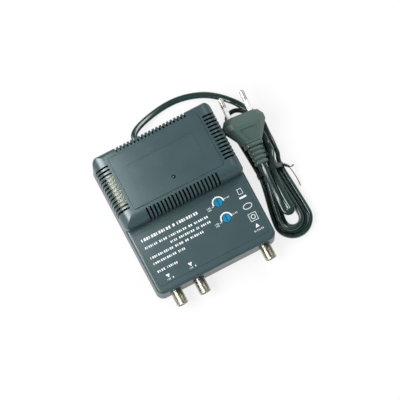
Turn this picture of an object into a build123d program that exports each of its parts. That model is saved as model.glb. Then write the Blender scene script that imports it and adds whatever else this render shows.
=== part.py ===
from build123d import *
import math
import os

# A television signal amplifier: a vented two-part housing, its boards and sockets, and its tied mains lead.
# All sizes are in millimetres. +Z is up, the aerial sockets face -Y, and +Y is the side of the mains lead.
# The origin is on the surface that the unit stands on, under the middle of its housing and sockets.

# Housing
body_width = 104.0
body_length = 118.0
body_corner = 6.0
wall = 2.0
foot_height = 1.5
parting_height = 12.4
seam = 0.4
plateau_height = 25.0
plateau_edge = 2.4
block_height = 44.2
block_length = 62.3
block_front_corner = 4.0
block_back_edge = 3.6
shoulder = 9.0
tray_edge = 1.5
lip_height = 1.8
lip_thickness = 0.9
lip_clearance = 0.15
flange_clearance = 0.2
overrun = 5.0
full_turn = 360.0

# Raised fields of the cover
pad_from_side = 12.5
pad_length = 46.0
pad_rise = 0.8
pad_corner = 1.5
pad_bevel = 0.5
pad_from_back = 5.7
label_from_side = 10.0
label_length = 23.0
label_depth = 0.4
label_corner = 2.0
panel_from_side = 4.0
panel_length = 45.5
panel_rise = 0.4
panel_corner = 2.5
panel_bevel = 0.25
panel_from_front = 6.2

# Vents
slot_width = 1.5
side_slots = 13
side_pitch = 3.1
side_slot_reach = 10.5
side_slot_floor = 22.0
side_slots_from_back = 29.3
front_slots = 20
front_pitch = 3.2
front_slot_reach = 8.1
front_slot_floor = 27.0
back_slots = 20
back_pitch = 3.15
back_slot_reach = 4.3
back_slot_floor = 33.0
floor_slots = 6
floor_slot_width = 2.0
floor_slot_inset = 1.2
floor_slot_pitch = 4.0

# Screw bosses and screws
boss_radius = 3.3
boss_from_side = 6.2
front_boss_from_front = 32.0
back_boss_from_back = 5.8
screw_radius = 1.3
screw_clearance = 0.05
screw_passage = 0.3
screw_length = 11.0
head_radius = 2.8
head_height = 1.8
head_recess_depth = 7.0
head_recess_clearance = 0.4
driver_slot_width = 0.8
driver_slot_depth = 0.9

# Feet
foot_radius = 5.0
foot_recess = 0.5
foot_from_side = 13.0
foot_from_front = 12.0
foot_from_back = 13.0

# Aerial sockets
socket_radius = 4.76
socket_reach = 12.0
socket_opening_clearance = 0.25
socket_bore = 3.9
socket_tip_bevel = 0.5
socket_neck_radius = 4.4
socket_neck_gap = 0.5
socket_flange_radius = 5.6
socket_flange_thickness = 1.2
socket_flange_gap = 0.2
socket_sleeve_radius = 4.2
socket_sleeve_length = 5.0
insulator_recess = 1.2
insulator_fit = 0.05
contact_radius = 0.9
contact_bore = 0.5
contact_tail = 3.0
contact_recess = 1.0
output_1_from_side = 14.4
output_2_from_side = 34.4
antenna_from_side = 11.6

# Circuit board
board_side_gap = 2.0
board_back_gap = 6.0
board_thickness = 1.6
post_height = 2.5
post_radius = 2.6
board_screw_radius = 1.1
board_screw_length = 3.6
board_head_radius = 2.2
board_head_height = 1.2
board_boss_gap = 0.5
front_post_from_side = 10.0
back_post_from_side = 12.0
middle_post_x = -8.0
post_ys = [-15.0, -15.0, 6.0, 53.0]

# Screening can
can_left_gap = 3.8
can_right_gap = 1.4
can_depth = 21.0
can_height = 13.0
can_sheet = 0.5
partition_shares = [0.183, 0.619]
lid_skirt = 3.0
lid_gap = 0.1

# Gain trimmers
dial_from_side = 29.0
dial_ys = {"upper_gain_dial": -8.3, "lower_gain_dial": -22.3}
dial_radius = 3.25
dial_clearance = 0.3
dial_stand = 0.2
dial_stem_radius = 2.0
dial_fit = 0.05
dial_head_length = 8.2
dial_seat_depth = 3.0
dial_seat_gap = 0.3
dial_slot_width = 1.0
dial_slot_depth = 0.9
dial_slot_length = 5.0
trimmer_side = 9.6
trimmer_height = 6.4
trimmer_edge = 0.6
trimmer_pin_radius = 0.45
trimmer_pin_depth = 2.4

# Power lamp
lamp_radius = 1.5
lamp_clearance = 0.12
lamp_y = 22.8
lamp_rise = 0.6
lamp_rim_radius = 1.9
lamp_rim_height = 1.0
lamp_rim_gap = 0.3
lamp_lead_side = 0.5
lamp_lead_spacing = 1.6
lamp_spacer_radius = 2.6
lamp_spacer_bore = 1.75
lead_tail = 1.2

# Transformer
transformer_wall_gap = 3.3
transformer_y = 35.7
core_width = 41.0
core_headroom = 1.6
leg_width = 13.0
window_width = 7.0
core_yoke = 6.25
leg_clearance = 0.2
bobbin_wall = 0.8
bobbin_flange = 0.9
window_clearance = 0.3
winding_depth = 4.8
winding_end_gap = 0.15
tape_thickness = 0.35
tape_fit = 0.05
rail_width = 3.6
transformer_pin_radius = 0.5
transformer_pin_pitch = 5.0
transformer_pins_per_side = 5

# Power supply parts
capacitor_radius = 6.3
capacitor_height = 21.0
capacitor_groove_radius = 5.9
capacitor_groove_height = 1.2
capacitor_top_edge = 0.8
capacitor_y = 42.0
diode_radius = 1.35
diode_length = 5.2
diode_lift = 1.2
diode_lead_radius = 0.4
diode_lead_reach = 2.2
diode_x = -5.0
diode_y = 34.0
diode_pitch = 4.2
diode_count = 4
sink_wall_gap = 6.0
regulator_y = 30.0
regulator_width = 10.2
regulator_depth = 3.3
regulator_height = 9.0
regulator_tab_height = 15.5
regulator_tab_thickness = 1.3
regulator_lift = 4.0
regulator_leg_side = 0.8
regulator_leg_pitch = 2.54
sink_width = 22.0
sink_height = 26.0
sink_sheet = 1.5
sink_wing = 9.0
fuse_y = 45.0
fuse_radius = 2.6
fuse_length = 20.0
fuse_cap_length = 5.0
fuse_cap_rim = 0.15
fuse_lift = 2.0
clip_sheet = 0.5
clip_width = 4.0
clip_height = 6.2
terminal_width = 11.0
terminal_length = 8.0
terminal_height = 9.0
terminal_gap = 2.3
terminal_y = 50.0
terminal_screw_radius = 1.9
terminal_screw_depth = 1.0
terminal_pitch = 5.0
mains_wire_radius = 0.8
mains_wire_spread = 2.6

# Amplifier parts in the can
transistor_radius = 2.3
transistor_height = 4.8
transistor_flat = 1.2
transistor_lift = 2.0
transistor_leg_side = 0.5
transistor_leg_pitch = 1.27
transistor_shares = [0.09, 0.465, 0.795]
part_row_from_front = 15.5
ferrite_shares = [0.355, 0.536]
ferrite_width = 7.0
ferrite_length = 6.0
ferrite_height = 4.2
ferrite_hole = 0.9

# Mains lead: a flat twin cord, its gland, its hank and its tie
cord_width = 5.2
cord_thickness = 3.2
cord_edge = 0.95
gland_x = -10.5
gland_width = 11.0
gland_height = 8.6
gland_neck_width = 8.4
gland_neck_height = 6.2
gland_flange = 2.3
gland_inner_flange = 2.0
gland_edge = 1.0
gland_clearance = 0.1
twist_length = 8.0
twist_shares = [0.0, 0.25, 0.5, 0.75, 1.0]
fillet_share = 0.45

# The free stretch from the gland to the hank: over the back end of the hank and down its right side
lead_route = [
    (-10.5, 67.3, 12.4),
    (-10.5, 71.6, 12.4),
    (-6.2, 75.6, 10.8),
    (1.4, 79.0, 7.6),
    (11.8, 82.0, 4.3),
    (22.8, 83.9, 2.4),
    (34.2, 84.0, 1.9),
    (45.6, 81.6, 1.9),
    (56.2, 77.3, 2.0),
    (65.0, 70.9, 2.1),
    (71.4, 63.9, 3.5),
    (75.3, 57.8, 7.5),
    (78.3, 52.0, 8.5),
    (81.9, 46.8, 8.3),
    (84.9, 41.2, 7.2),
    (85.6, 35.2, 4.7),
    (85.0, 28.9, 3.3),
    (85.0, 22.0, 3.3),
]

# The free stretch from the hank to the plug: over the strands, down to a fold and back over the tie
tail_route = [
    (80.75, 23.3, 8.95),
    (80.75, 17.8, 8.95),
    (80.6, 12.6, 12.0),
    (78.0, 6.6, 13.9),
    (75.0, 0.4, 14.1),
    (73.6, -7.0, 13.9),
    (73.4, -15.5, 13.7),
    (73.4, -24.0, 13.6),
    (74.0, -31.0, 13.55),
    (74.3, -36.2, 13.5),
    (72.0, -38.6, 13.5),
    (68.9, -38.6, 13.5),
    (66.6, -36.2, 13.55),
    (66.9, -31.0, 13.7),
    (67.4, -24.0, 14.3),
    (67.5, -16.3, 16.1),
    (67.7, -8.6, 18.8),
    (68.0, -1.0, 20.9),
    (68.3, 4.0, 20.9),
]

# The hank: lanes side by side, a step apart, in two layers
strand_gap = 0.45
lane_step = 3.75
lane_ease = 5.0
hank_lift = 0.7
hank_low_y = -42.6
hank_waist_y = -1.4
left_low_x = 56.6
left_waist_x = 63.8
left_top_x = 61.4
right_low_x = 85.0
right_waist_x = 82.5
right_top_x = 84.0
first_left_top_y = 49.0
first_right_top_y = 42.15
second_top_y = 42.0
upper_top_y = 36.5
hank_start_x = 85.0
hank_start_y = 14.0
hank_end_y = 31.3
last_lane_shift = 0.5
sample_step = 1.0
sample_skip = 8.0

# Tie round the waist of the hank
tie_width = 3.6
tie_thickness = 0.5
tie_gap = 0.12
tie_over_x = 74.5
tie_over_z = 14.3
tie_over_width = 6.3
knot_strip_radius = 0.75
knot_strip_shift = 0.5
knot_start = (84.3, -1.7, 7.1)
tie_end_width = 1.8
tie_long_end = [(87.4, -5.0, 6.1), (88.6, -10.4, 4.1), (89.2, -16.2, 2.2), (88.9, -22.0, 1.3)]
tie_short_end = [(87.4, -5.0, 6.1), (89.4, -6.2, 6.6), (91.2, -5.4, 7.4)]

# Plug
plug_width = 35.3
plug_thickness = 13.7
plug_face_width = 29.0
plug_flat_width = 23.0
plug_nose_length = 4.5
plug_shoulder_length = 4.5
plug_length = 24.0
plug_roll = 12.0
plug_collar_width = 15.5
plug_collar_thickness = 11.0
plug_side_height = 4.2
plug_field_depth = 0.3
plug_field_width = 11.0
plug_field_length = 8.5
plug_field_corner = 3.0
plug_field_shift = 7.5
relief_length = 18.0
relief_start_width = 12.2
relief_end_width = 10.8
relief_start_thickness = 9.0
relief_end_thickness = 7.4
relief_collar = 3.0
relief_collar_grow = 1.6
rib_count = 4
rib_groove = 1.0
rib_depth = 1.1
rib_edge = 1.2
pin_spacing = 18.6
pin_radius = 2.0
pin_length = 19.0
pin_sleeve_length = 10.0
pin_neck_radius = 1.5
pin_seat = 6.0
pin_tip_edge = 1.2
sleeve_fit = 0.03

# Places worked out from the sizes above
front_y = -(body_length + socket_reach) / 2 + socket_reach
back_y = front_y + body_length
block_front_y = back_y - block_length
tray_floor = foot_height + wall
board_bottom = tray_floor + post_height
board_top = board_bottom + board_thickness
inner_front_y = front_y + wall
can_front_y = inner_front_y + socket_flange_gap + socket_flange_thickness
can_back_y = can_front_y + can_depth
board_front_y = can_front_y
board_back_y = back_y - wall - board_back_gap
boss_x = body_width / 2 - boss_from_side
boss_places = [
    (-boss_x, front_y + front_boss_from_front),
    (boss_x, front_y + front_boss_from_front),
    (-boss_x, back_y - back_boss_from_back),
    (boss_x, back_y - back_boss_from_back),
]
ceiling = block_height - wall
pad_width = body_width - 2 * pad_from_side
label_width = pad_width - 2 * label_from_side
panel_width = body_width - 2 * panel_from_side
socket_xs = {
    "output_1_socket": output_1_from_side - body_width / 2,
    "output_2_socket": output_2_from_side - body_width / 2,
    "antenna_socket": body_width / 2 - antenna_from_side,
}
board_width = body_width - 2 * (wall + board_side_gap)
front_post_x = board_width / 2 - front_post_from_side
post_xs = [-front_post_x, front_post_x, middle_post_x, board_width / 2 - back_post_from_side]
can_left = can_left_gap - board_width / 2
can_right = board_width / 2 - can_right_gap
can_width = can_right - can_left
can_partitions = [can_left + can_width * share for share in partition_shares]
transistor_xs = [can_left + can_width * share for share in transistor_shares]
ferrite_xs = [can_left + can_width * share for share in ferrite_shares]
dial_x = body_width / 2 - dial_from_side
transformer_left = wall + transformer_wall_gap - body_width / 2
transformer_right = gland_x - terminal_width / 2 - terminal_gap
transformer_x = (transformer_left + transformer_right) / 2
core_stack = transformer_right - transformer_left - 2 * (window_width - window_clearance)
core_height = ceiling - core_headroom - board_top
window_height = core_height - 2 * core_yoke
floor_slot_length = transformer_right - transformer_left - 2 * floor_slot_inset
regulator_x = body_width / 2 - wall - sink_wall_gap - sink_width / 2
diode_end = diode_x + diode_length / 2 + diode_lead_reach + diode_lead_radius
capacitor_x = (diode_end + regulator_x - sink_width / 2) / 2
fuse_x = regulator_x
screw_seat = foot_height + head_recess_depth
layer_step = cord_width + strand_gap
first_layer = hank_lift + cord_width / 2
second_layer = first_layer + layer_step


def middle_span(low, high):
    return (low + high) / 2


def upright(radius, low, high, place=(0, 0)):
    """A cylinder along Z from low to high over a place in plan."""
    at = Pos(place[0], place[1], middle_span(low, high))
    return at * Cylinder(radius, high - low)


def block_between(low, high):
    """A box given by its lowest and highest corners."""
    centre = [middle_span(a, b) for a, b in zip(low, high)]
    return Pos(*centre) * Box(*[b - a for a, b in zip(low, high)])


def joined(shapes):
    """The shapes fused into one."""
    shapes = list(shapes)
    return shapes[0].fuse(*shapes[1:]) if len(shapes) > 1 else shapes[0]


# Housing


def body_plan(inset):
    """The outline of the whole housing in plan, drawn in by an inset."""
    centre = Pos(0, middle_span(front_y, back_y))
    outline = RectangleRounded(body_width - 2 * inset, body_length - 2 * inset, body_corner - inset)
    return centre * outline


def block_plan(inset):
    """The outline of the raised block in plan, with smaller corners in front."""
    outline = Rectangle(body_width - 2 * inset, block_length - 2 * inset)
    corners = outline.vertices().sort_by(Axis.Y)
    outline = fillet(corners[:2], block_front_corner - inset)
    corners = outline.vertices().sort_by(Axis.Y)
    outline = fillet(corners[-2:], body_corner - inset)
    return Pos(0, middle_span(block_front_y, back_y)) * outline


def block_front_view(inset, bottom):
    """The block seen from the front: upright sides and round shoulders, swept from front to back."""
    height = block_height - inset - bottom
    outline = Rectangle(body_width - 2 * inset, height)
    tops = outline.vertices().sort_by(Axis.Y)[-2:]
    outline = fillet(tops, shoulder - inset)
    plane = Plane.XZ.offset(-back_y)
    return extrude(plane * Pos(0, bottom + height / 2) * outline, amount=block_length)


def block_side_view(inset, bottom):
    """The block seen from the side: a round front shoulder and a tighter back edge, swept across."""
    height = block_height - inset - bottom
    outline = Rectangle(block_length - 2 * inset, height)
    tops = outline.vertices().sort_by(Axis.Y)[-2:].sort_by(Axis.X)
    outline = fillet(tops[0], shoulder - inset)
    back = outline.vertices().sort_by(Axis.Y)[-2:].sort_by(Axis.X)[-1]
    outline = fillet(back, block_back_edge - inset)
    place = Pos(middle_span(block_front_y, back_y), bottom + height / 2)
    return extrude(Plane.YZ * place * outline, amount=body_width, both=True)


def block_form(inset, bottom):
    """The raised block as a solid: what its three views have in common."""
    upright_form = extrude(Pos(0, 0, bottom) * block_plan(inset), amount=block_height - bottom)
    return upright_form & block_front_view(inset, bottom) & block_side_view(inset, bottom)


def plateau_form(inset, bottom):
    """The low part of the housing as a solid, over the whole plan."""
    return extrude(Pos(0, 0, bottom) * body_plan(inset), amount=plateau_height - inset - bottom)


def cover_form():
    """The outer form of the cover, filled."""
    bottom = parting_height + seam
    low = plateau_form(0, bottom)
    low = fillet(low.edges().group_by(Axis.Z)[-1], plateau_edge)
    return low + block_form(0, bottom)


def cavity_form(bottom):
    """The space inside the housing above a height."""
    return plateau_form(wall, bottom) + block_form(wall, bottom)


def pad():
    """The raised field on the block, with its bevelled rim and the sunk place for a label."""
    centre = Pos(0, back_y - pad_from_back - pad_length / 2)
    field = extrude(
        centre * Pos(0, 0, block_height - wall / 2) * RectangleRounded(pad_width, pad_length, pad_corner),
        amount=wall / 2 + pad_rise,
    )
    field = chamfer(field.edges().group_by(Axis.Z)[-1], pad_bevel)
    top = block_height + pad_rise
    label = RectangleRounded(label_width, label_length, label_corner)
    return field - extrude(centre * Pos(0, 0, top - label_depth) * label, amount=overrun)


def panel():
    """The raised field on the low part, round the trimmers."""
    centre = Pos(0, front_y + panel_from_front + panel_length / 2)
    field = extrude(
        centre * Pos(0, 0, plateau_height - wall / 2) * RectangleRounded(panel_width, panel_length, panel_corner),
        amount=wall / 2 + panel_rise,
    )
    return chamfer(field.edges().group_by(Axis.Z)[-1], panel_bevel)


def slot_row(low, high, count, pitch, along):
    """Cutters for a row of slots: one box repeated along X or Y about its own middle."""
    cutter = block_between(low, high)
    first = -pitch * (count - 1) / 2
    steps = [first + pitch * i for i in range(count)]
    return [Pos(*(s * a for a in along)) * cutter for s in steps]


def side_vents(side):
    """Slots over one shoulder and down that side."""
    middle = back_y - side_slots_from_back
    inner = body_width / 2 - side_slot_reach
    outer = body_width / 2 + overrun
    xs = sorted([side * inner, side * outer])
    low = (xs[0], middle - slot_width / 2, side_slot_floor)
    high = (xs[1], middle + slot_width / 2, block_height + overrun)
    return slot_row(low, high, side_slots, side_pitch, (0, 1, 0))


def front_vents():
    """Slots down the round front of the block."""
    low = (-slot_width / 2, block_front_y - overrun, front_slot_floor)
    high = (slot_width / 2, block_front_y + front_slot_reach, block_height + overrun)
    return slot_row(low, high, front_slots, front_pitch, (1, 0, 0))


def back_vents():
    """Slots over the back edge of the block and down its back."""
    low = (-slot_width / 2, back_y - back_slot_reach, back_slot_floor)
    high = (slot_width / 2, back_y + overrun, block_height + overrun)
    return slot_row(low, high, back_slots, back_pitch, (1, 0, 0))


def socket_openings():
    """Cutters for the round openings that the two shells share at the parting line."""
    radius = socket_radius + socket_opening_clearance
    plane = Plane.XZ.offset(-front_y)
    holes = []
    for x in socket_xs.values():
        disc = plane * Pos(x, parting_height) * Circle(radius)
        holes.append(extrude(disc, amount=2 * wall, both=True))
    return holes


def gland_opening():
    """The cutter for the gland's neck, shared by the two shells."""
    outline = RectangleRounded(
        gland_neck_width + 2 * gland_clearance, gland_neck_height + 2 * gland_clearance, gland_edge
    )
    place = Plane.XZ.offset(-back_y) * Pos(gland_x, parting_height)
    return extrude(place * outline, amount=2 * wall, both=True)


def lip_openings():
    """Cutters that keep the tray's rim clear of the socket flanges and of the gland's inner flange."""
    cutters = []
    for x in socket_xs.values():
        disc = Plane.XZ.offset(-inner_front_y) * Pos(x, parting_height)
        cutters.append(extrude(disc * Circle(socket_flange_radius + flange_clearance), amount=-2 * wall))
    width = gland_width + 2 * flange_clearance
    height = gland_height + 2 * flange_clearance
    place = Plane.XZ.offset(wall - back_y) * Pos(gland_x, parting_height)
    cutters.append(extrude(place * Rectangle(width, height), amount=2 * wall))
    return cutters


def top_cover():
    """The vented moulded cover."""
    outer = cover_form()
    cover = outer - cavity_form(parting_height - overrun)
    posts = joined(upright(boss_radius, parting_height, block_height, place) for place in boss_places)
    cover = cover + (posts & (outer + extrude(Pos(0, 0, parting_height) * body_plan(wall), amount=2 * seam)))
    cover = cover + pad() + panel()
    cutters = side_vents(-1) + side_vents(1) + front_vents() + back_vents()
    cutters += socket_openings() + [gland_opening()]
    pilot = screw_radius + screw_clearance
    pilot_top = screw_seat + screw_length + screw_radius
    cutters += [upright(pilot, parting_height - overrun, pilot_top, place) for place in boss_places]
    dial_hole = dial_radius + dial_clearance
    for y in dial_ys.values():
        cutters.append(upright(dial_hole, plateau_height - 2 * wall, plateau_height + overrun, (dial_x, y)))
    lamp_hole = lamp_radius + lamp_clearance
    cutters.append(upright(lamp_hole, ceiling - overrun, block_height + overrun, (0, lamp_y)))
    return cover - cutters


def tray_lip():
    """The rim inside the seam that the cover drops over."""
    outer = wall + lip_clearance
    ring = body_plan(outer) - body_plan(outer + lip_thickness)
    bottom = parting_height - wall
    return extrude(Pos(0, 0, bottom) * ring, amount=wall + seam + lip_height)


def tray_ledge():
    """The thickening of the tray's wall that carries the rim."""
    ring = body_plan(wall / 2) - body_plan(wall + lip_clearance + lip_thickness)
    return extrude(Pos(0, 0, parting_height - 2 * wall) * ring, amount=2 * wall)


def bottom_tray():
    """The moulded tray: floor, rim, screw bosses, board posts, floor vents and foot recesses."""
    shell = extrude(Pos(0, 0, foot_height) * body_plan(0), amount=parting_height - foot_height)
    shell = chamfer(shell.edges().group_by(Axis.Z)[0], tray_edge)
    cavity = extrude(Pos(0, 0, tray_floor) * body_plan(wall), amount=parting_height)
    tray = shell - cavity + tray_ledge() + tray_lip()
    tray = tray + [upright(boss_radius, tray_floor - wall / 2, parting_height, p) for p in boss_places]
    posts = zip(post_xs, post_ys)
    tray = tray + [upright(post_radius, tray_floor - wall / 2, board_bottom, p) for p in posts]
    cutters = socket_openings() + [gland_opening()] + lip_openings()
    passage = screw_radius + screw_passage
    recess = head_radius + head_recess_clearance
    for place in boss_places:
        cutters.append(upright(passage, 0, parting_height + overrun, place))
        cutters.append(upright(recess, 0, screw_seat, place))
        cutters.append(upright(boss_radius + lip_clearance, parting_height, parting_height + overrun, place))
    for place in foot_places():
        cutters.append(upright(foot_radius, 0, foot_height + foot_recess, place))
    pilot = board_screw_radius + screw_clearance
    for place in zip(post_xs, post_ys):
        cutters.append(upright(pilot, board_top - board_screw_length - screw_radius, board_top, place))
    low = (transformer_x - floor_slot_length / 2, transformer_y - floor_slot_width / 2, 0)
    high = (transformer_x + floor_slot_length / 2, transformer_y + floor_slot_width / 2, board_bottom)
    cutters += slot_row(low, high, floor_slots, floor_slot_pitch, (0, 1, 0))
    return tray - cutters


def foot_places():
    x = body_width / 2 - foot_from_side
    return [(s * x, y) for s in (-1, 1) for y in (front_y + foot_from_front, back_y - foot_from_back)]


def feet():
    """Four rubber pads in the recesses of the tray."""
    return [upright(foot_radius - seam, 0, foot_height + foot_recess, place) for place in foot_places()]


def screw(radius, length, head, head_size, seat, place, down):
    """A screw along Z with a slotted head below or above its seat."""
    sign = -1 if down else 1
    ends = sorted([seat, seat - sign * length])
    head_ends = sorted([seat, seat + sign * head_size])
    body = upright(radius, *ends, place) + upright(head, *head_ends, place)
    face = seat + sign * head_size
    depths = sorted([face - sign * driver_slot_depth, face + sign * overrun])
    low = (place[0] - head, place[1] - driver_slot_width / 2, depths[0])
    high = (place[0] + head, place[1] + driver_slot_width / 2, depths[1])
    return body - block_between(low, high)


def housing_screws():
    return [
        screw(screw_radius, screw_length, head_radius, head_height, screw_seat, place, True)
        for place in boss_places
    ]


# Circuit board and sockets


def circuit_board():
    """The board that carries all parts, cut clear of the screw bosses."""
    low = (-board_width / 2, board_front_y, board_bottom)
    high = (board_width / 2, board_back_y, board_top)
    board = block_between(low, high)
    clear = boss_radius + board_boss_gap
    cutters = [upright(clear, 0, board_top + overrun, place) for place in boss_places]
    hole = board_screw_radius + screw_clearance
    cutters += [upright(hole, 0, board_top + overrun, place) for place in zip(post_xs, post_ys)]
    holes = trimmer_pin_places() + transformer_pin_places() + lamp_lead_places()
    pin_hole = transformer_pin_radius + screw_clearance
    cutters += [upright(pin_hole, 0, board_top + overrun, place) for place in holes]
    return board - cutters


def board_screws():
    return [
        screw(board_screw_radius, board_screw_length, board_head_radius, board_head_height, board_top, place, False)
        for place in zip(post_xs, post_ys)
    ]


def turned(profile, x):
    """A profile of radii and distances from the front, turned about a socket's axis."""
    axis_plane = Plane(origin=(x, 0, parting_height), x_dir=(1, 0, 0), z_dir=(0, 0, 1))
    outline = make_face(Polyline(*[(r, y) for r, y in profile], close=True))
    return revolve(axis_plane * outline, axis=Axis((x, 0, parting_height), (0, 1, 0)))


def aerial_socket(x):
    """A coaxial socket: barrel, flange against the can, and the sleeve that is soldered in it."""
    tip = front_y - socket_reach
    sleeve_end = can_front_y + socket_sleeve_length
    profile = [
        (socket_bore, tip),
        (socket_radius - socket_tip_bevel, tip),
        (socket_radius, tip + socket_tip_bevel),
        (socket_radius, front_y - socket_neck_gap),
        (socket_neck_radius, front_y - socket_neck_gap),
        (socket_neck_radius, can_front_y - socket_flange_thickness),
        (socket_flange_radius, can_front_y - socket_flange_thickness),
        (socket_flange_radius, can_front_y),
        (socket_sleeve_radius, can_front_y),
        (socket_sleeve_radius, sleeve_end),
        (socket_bore, sleeve_end),
    ]
    return turned(profile, x)


def socket_insulator(x):
    """The plastic core of a socket."""
    start = front_y - socket_reach + insulator_recess
    end = can_front_y + socket_sleeve_length
    outer = socket_bore - insulator_fit
    inner = contact_radius + insulator_fit
    return turned([(inner, start), (outer, start), (outer, end), (inner, end)], x)


def socket_contact(x):
    """The hollow centre contact of a socket, with its solder tail."""
    start = front_y - socket_reach + insulator_recess + contact_recess
    end = can_front_y + socket_sleeve_length
    tail = end + contact_tail
    profile = [
        (contact_bore, start),
        (contact_radius, start),
        (contact_radius, end),
        (contact_bore, tail),
        (0, tail),
        (0, end),
        (contact_bore, end),
    ]
    return turned(profile, x)


def shield_frame():
    """The folded screening frame round the amplifier, with its partitions."""
    top = board_top + can_height
    outer = block_between((can_left, can_front_y, board_top), (can_right, can_back_y, top))
    inside_low = (can_left + can_sheet, can_front_y + can_sheet, board_top - overrun)
    inside_high = (can_right - can_sheet, can_back_y - can_sheet, top + overrun)
    frame = outer - block_between(inside_low, inside_high)
    walls = [
        block_between((x, can_front_y + can_sheet / 2, board_top), (x + can_sheet, can_back_y - can_sheet / 2, top))
        for x in can_partitions
    ]
    holes = []
    for x in socket_xs.values():
        disc = Plane.XZ.offset(-can_front_y) * Pos(x, parting_height) * Circle(socket_sleeve_radius + insulator_fit)
        holes.append(extrude(disc, amount=2 * can_sheet, both=True))
    return frame + walls - holes


def shield_lid():
    """The lid that clips over the screening frame."""
    top = board_top + can_height
    reach = lid_gap + can_sheet
    low = (can_left - reach, can_front_y + can_sheet, top - lid_skirt)
    high = (can_right + reach, can_back_y + reach, top + can_sheet)
    inner_low = (can_left - lid_gap, can_front_y - overrun, top - lid_skirt - overrun)
    inner_high = (can_right + lid_gap, can_back_y + lid_gap, top)
    return block_between(low, high) - block_between(inner_low, inner_high)


# Gain trimmers


def trimmer_pin_places():
    shift = trimmer_side / 4
    shifts = [(-shift, -shift), (shift, -shift), (0, shift)]
    return [(dial_x + dx, y + dy) for y in dial_ys.values() for dx, dy in shifts]


def trimmer_bodies():
    """The two trimmer potentiometers on the board, each with the seat of its dial."""
    bodies = []
    for y in dial_ys.values():
        top = board_top + trimmer_height
        half = trimmer_side / 2
        body = block_between((dial_x - half, y - half, board_top), (dial_x + half, y + half, top))
        body = chamfer(body.edges().filter_by(Axis.Z), trimmer_edge)
        seat = upright(dial_stem_radius + dial_fit, top - dial_seat_depth - dial_seat_gap, top + overrun, (dial_x, y))
        bodies.append(body - seat)
    tops = [upright(trimmer_pin_radius, board_bottom - lead_tail, board_top, p) for p in trimmer_pin_places()]
    per_body = len(tops) // len(bodies)
    return [body + tops[i * per_body : (i + 1) * per_body] for i, body in enumerate(bodies)]


def gain_dial(y):
    """The blue dial of a trimmer: stem, head in the cover's hole, and the slot for a screwdriver."""
    head_top = plateau_height + panel_rise + dial_stand
    head_bottom = head_top - dial_head_length
    stem_bottom = board_top + trimmer_height - dial_seat_depth
    stem = upright(dial_stem_radius, stem_bottom, head_bottom, (dial_x, y))
    dial = stem + upright(dial_radius, head_bottom, head_top, (dial_x, y))
    half = dial_slot_width / 2
    low = (dial_x - half, y - dial_slot_length / 2, head_top - dial_slot_depth)
    high = (dial_x + half, y + dial_slot_length / 2, head_top + overrun)
    return dial - block_between(low, high)


# Power lamp


def power_lamp():
    """A small round light with its rim under the ceiling and its dome through the cover."""
    rim_top = ceiling - lamp_rim_gap
    rim_bottom = rim_top - lamp_rim_height
    dome_top = block_height + pad_rise + lamp_rise
    lamp = upright(lamp_rim_radius, rim_bottom, rim_top, (0, lamp_y))
    lamp = lamp + upright(lamp_radius, rim_bottom, dome_top - lamp_radius, (0, lamp_y))
    return lamp + Pos(0, lamp_y, dome_top - lamp_radius) * Sphere(lamp_radius)


def lamp_bottom():
    return ceiling - lamp_rim_gap - lamp_rim_height


def lamp_lead_places():
    return [(s * lamp_lead_spacing / 2, lamp_y) for s in (-1, 1)]


def lamp_leads():
    half = lamp_lead_side / 2
    leads = []
    for x, y in lamp_lead_places():
        low = (x - half, y - half, board_bottom - lead_tail)
        leads.append(block_between(low, (x + half, y + half, lamp_bottom())))
    return leads


def lamp_spacer():
    """The tube that holds the lamp up to the cover."""
    tube = upright(lamp_spacer_radius, board_top, lamp_bottom(), (0, lamp_y))
    return tube - upright(lamp_spacer_bore, board_top - overrun, lamp_bottom() + overrun, (0, lamp_y))


# Transformer


def transformer_box(x_size, y_size, low, high):
    """A box centred on the transformer in plan."""
    corner = (transformer_x - x_size / 2, transformer_y - y_size / 2, low)
    return block_between(corner, (transformer_x + x_size / 2, transformer_y + y_size / 2, high))


def window_bottom():
    return board_top + (core_height - window_height) / 2


def transformer_core():
    """The stack of laminations with its two windows."""
    core = transformer_box(core_stack, core_width, board_top, board_top + core_height)
    shift = (leg_width + window_width) / 2
    low = window_bottom()
    window = transformer_box(core_stack + overrun, window_width, low, low + window_height)
    return core - [Pos(0, s * shift) * window for s in (-1, 1)]


def bobbin_flange_size():
    grow = 2 * (window_width - window_clearance)
    return core_stack + grow, leg_width + grow


def transformer_bobbin():
    """The bobbin: tube round the middle leg, two flanges and the pin rails that stand on the board."""
    low = window_bottom() + window_clearance
    high = window_bottom() + window_height - window_clearance
    grow = 2 * (leg_clearance + bobbin_wall)
    bobbin = transformer_box(core_stack + grow, leg_width + grow, low, high)
    x_size, y_size = bobbin_flange_size()
    bobbin = bobbin + transformer_box(x_size, y_size, low, low + bobbin_flange)
    bobbin = bobbin + transformer_box(x_size, y_size, high - bobbin_flange, high)
    for side in (-1, 1):
        rail = transformer_box(rail_width, y_size, board_top, low + bobbin_flange)
        bobbin = bobbin + Pos(side * (x_size - rail_width) / 2) * rail
    leg = transformer_box(core_stack + 2 * leg_clearance, leg_width + 2 * leg_clearance, low - overrun, high + overrun)
    return bobbin - leg


def winding_ring(inner_grow, outer_grow, low, high):
    """A squared ring round the bobbin's tube, between two distances from the middle leg."""
    outer = transformer_box(core_stack + 2 * outer_grow, leg_width + 2 * outer_grow, low, high)
    outer = fillet(outer.edges().filter_by(Axis.Z), (outer_grow - leg_clearance) / 2)
    inner = transformer_box(core_stack + 2 * inner_grow, leg_width + 2 * inner_grow, low - overrun, high + overrun)
    return outer - inner


def winding_ends():
    gap = window_clearance + bobbin_flange + winding_end_gap
    return window_bottom() + gap, window_bottom() + window_height - gap


def transformer_winding():
    tube = leg_clearance + bobbin_wall + tape_fit
    return winding_ring(tube, tube + winding_depth, *winding_ends())


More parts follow.
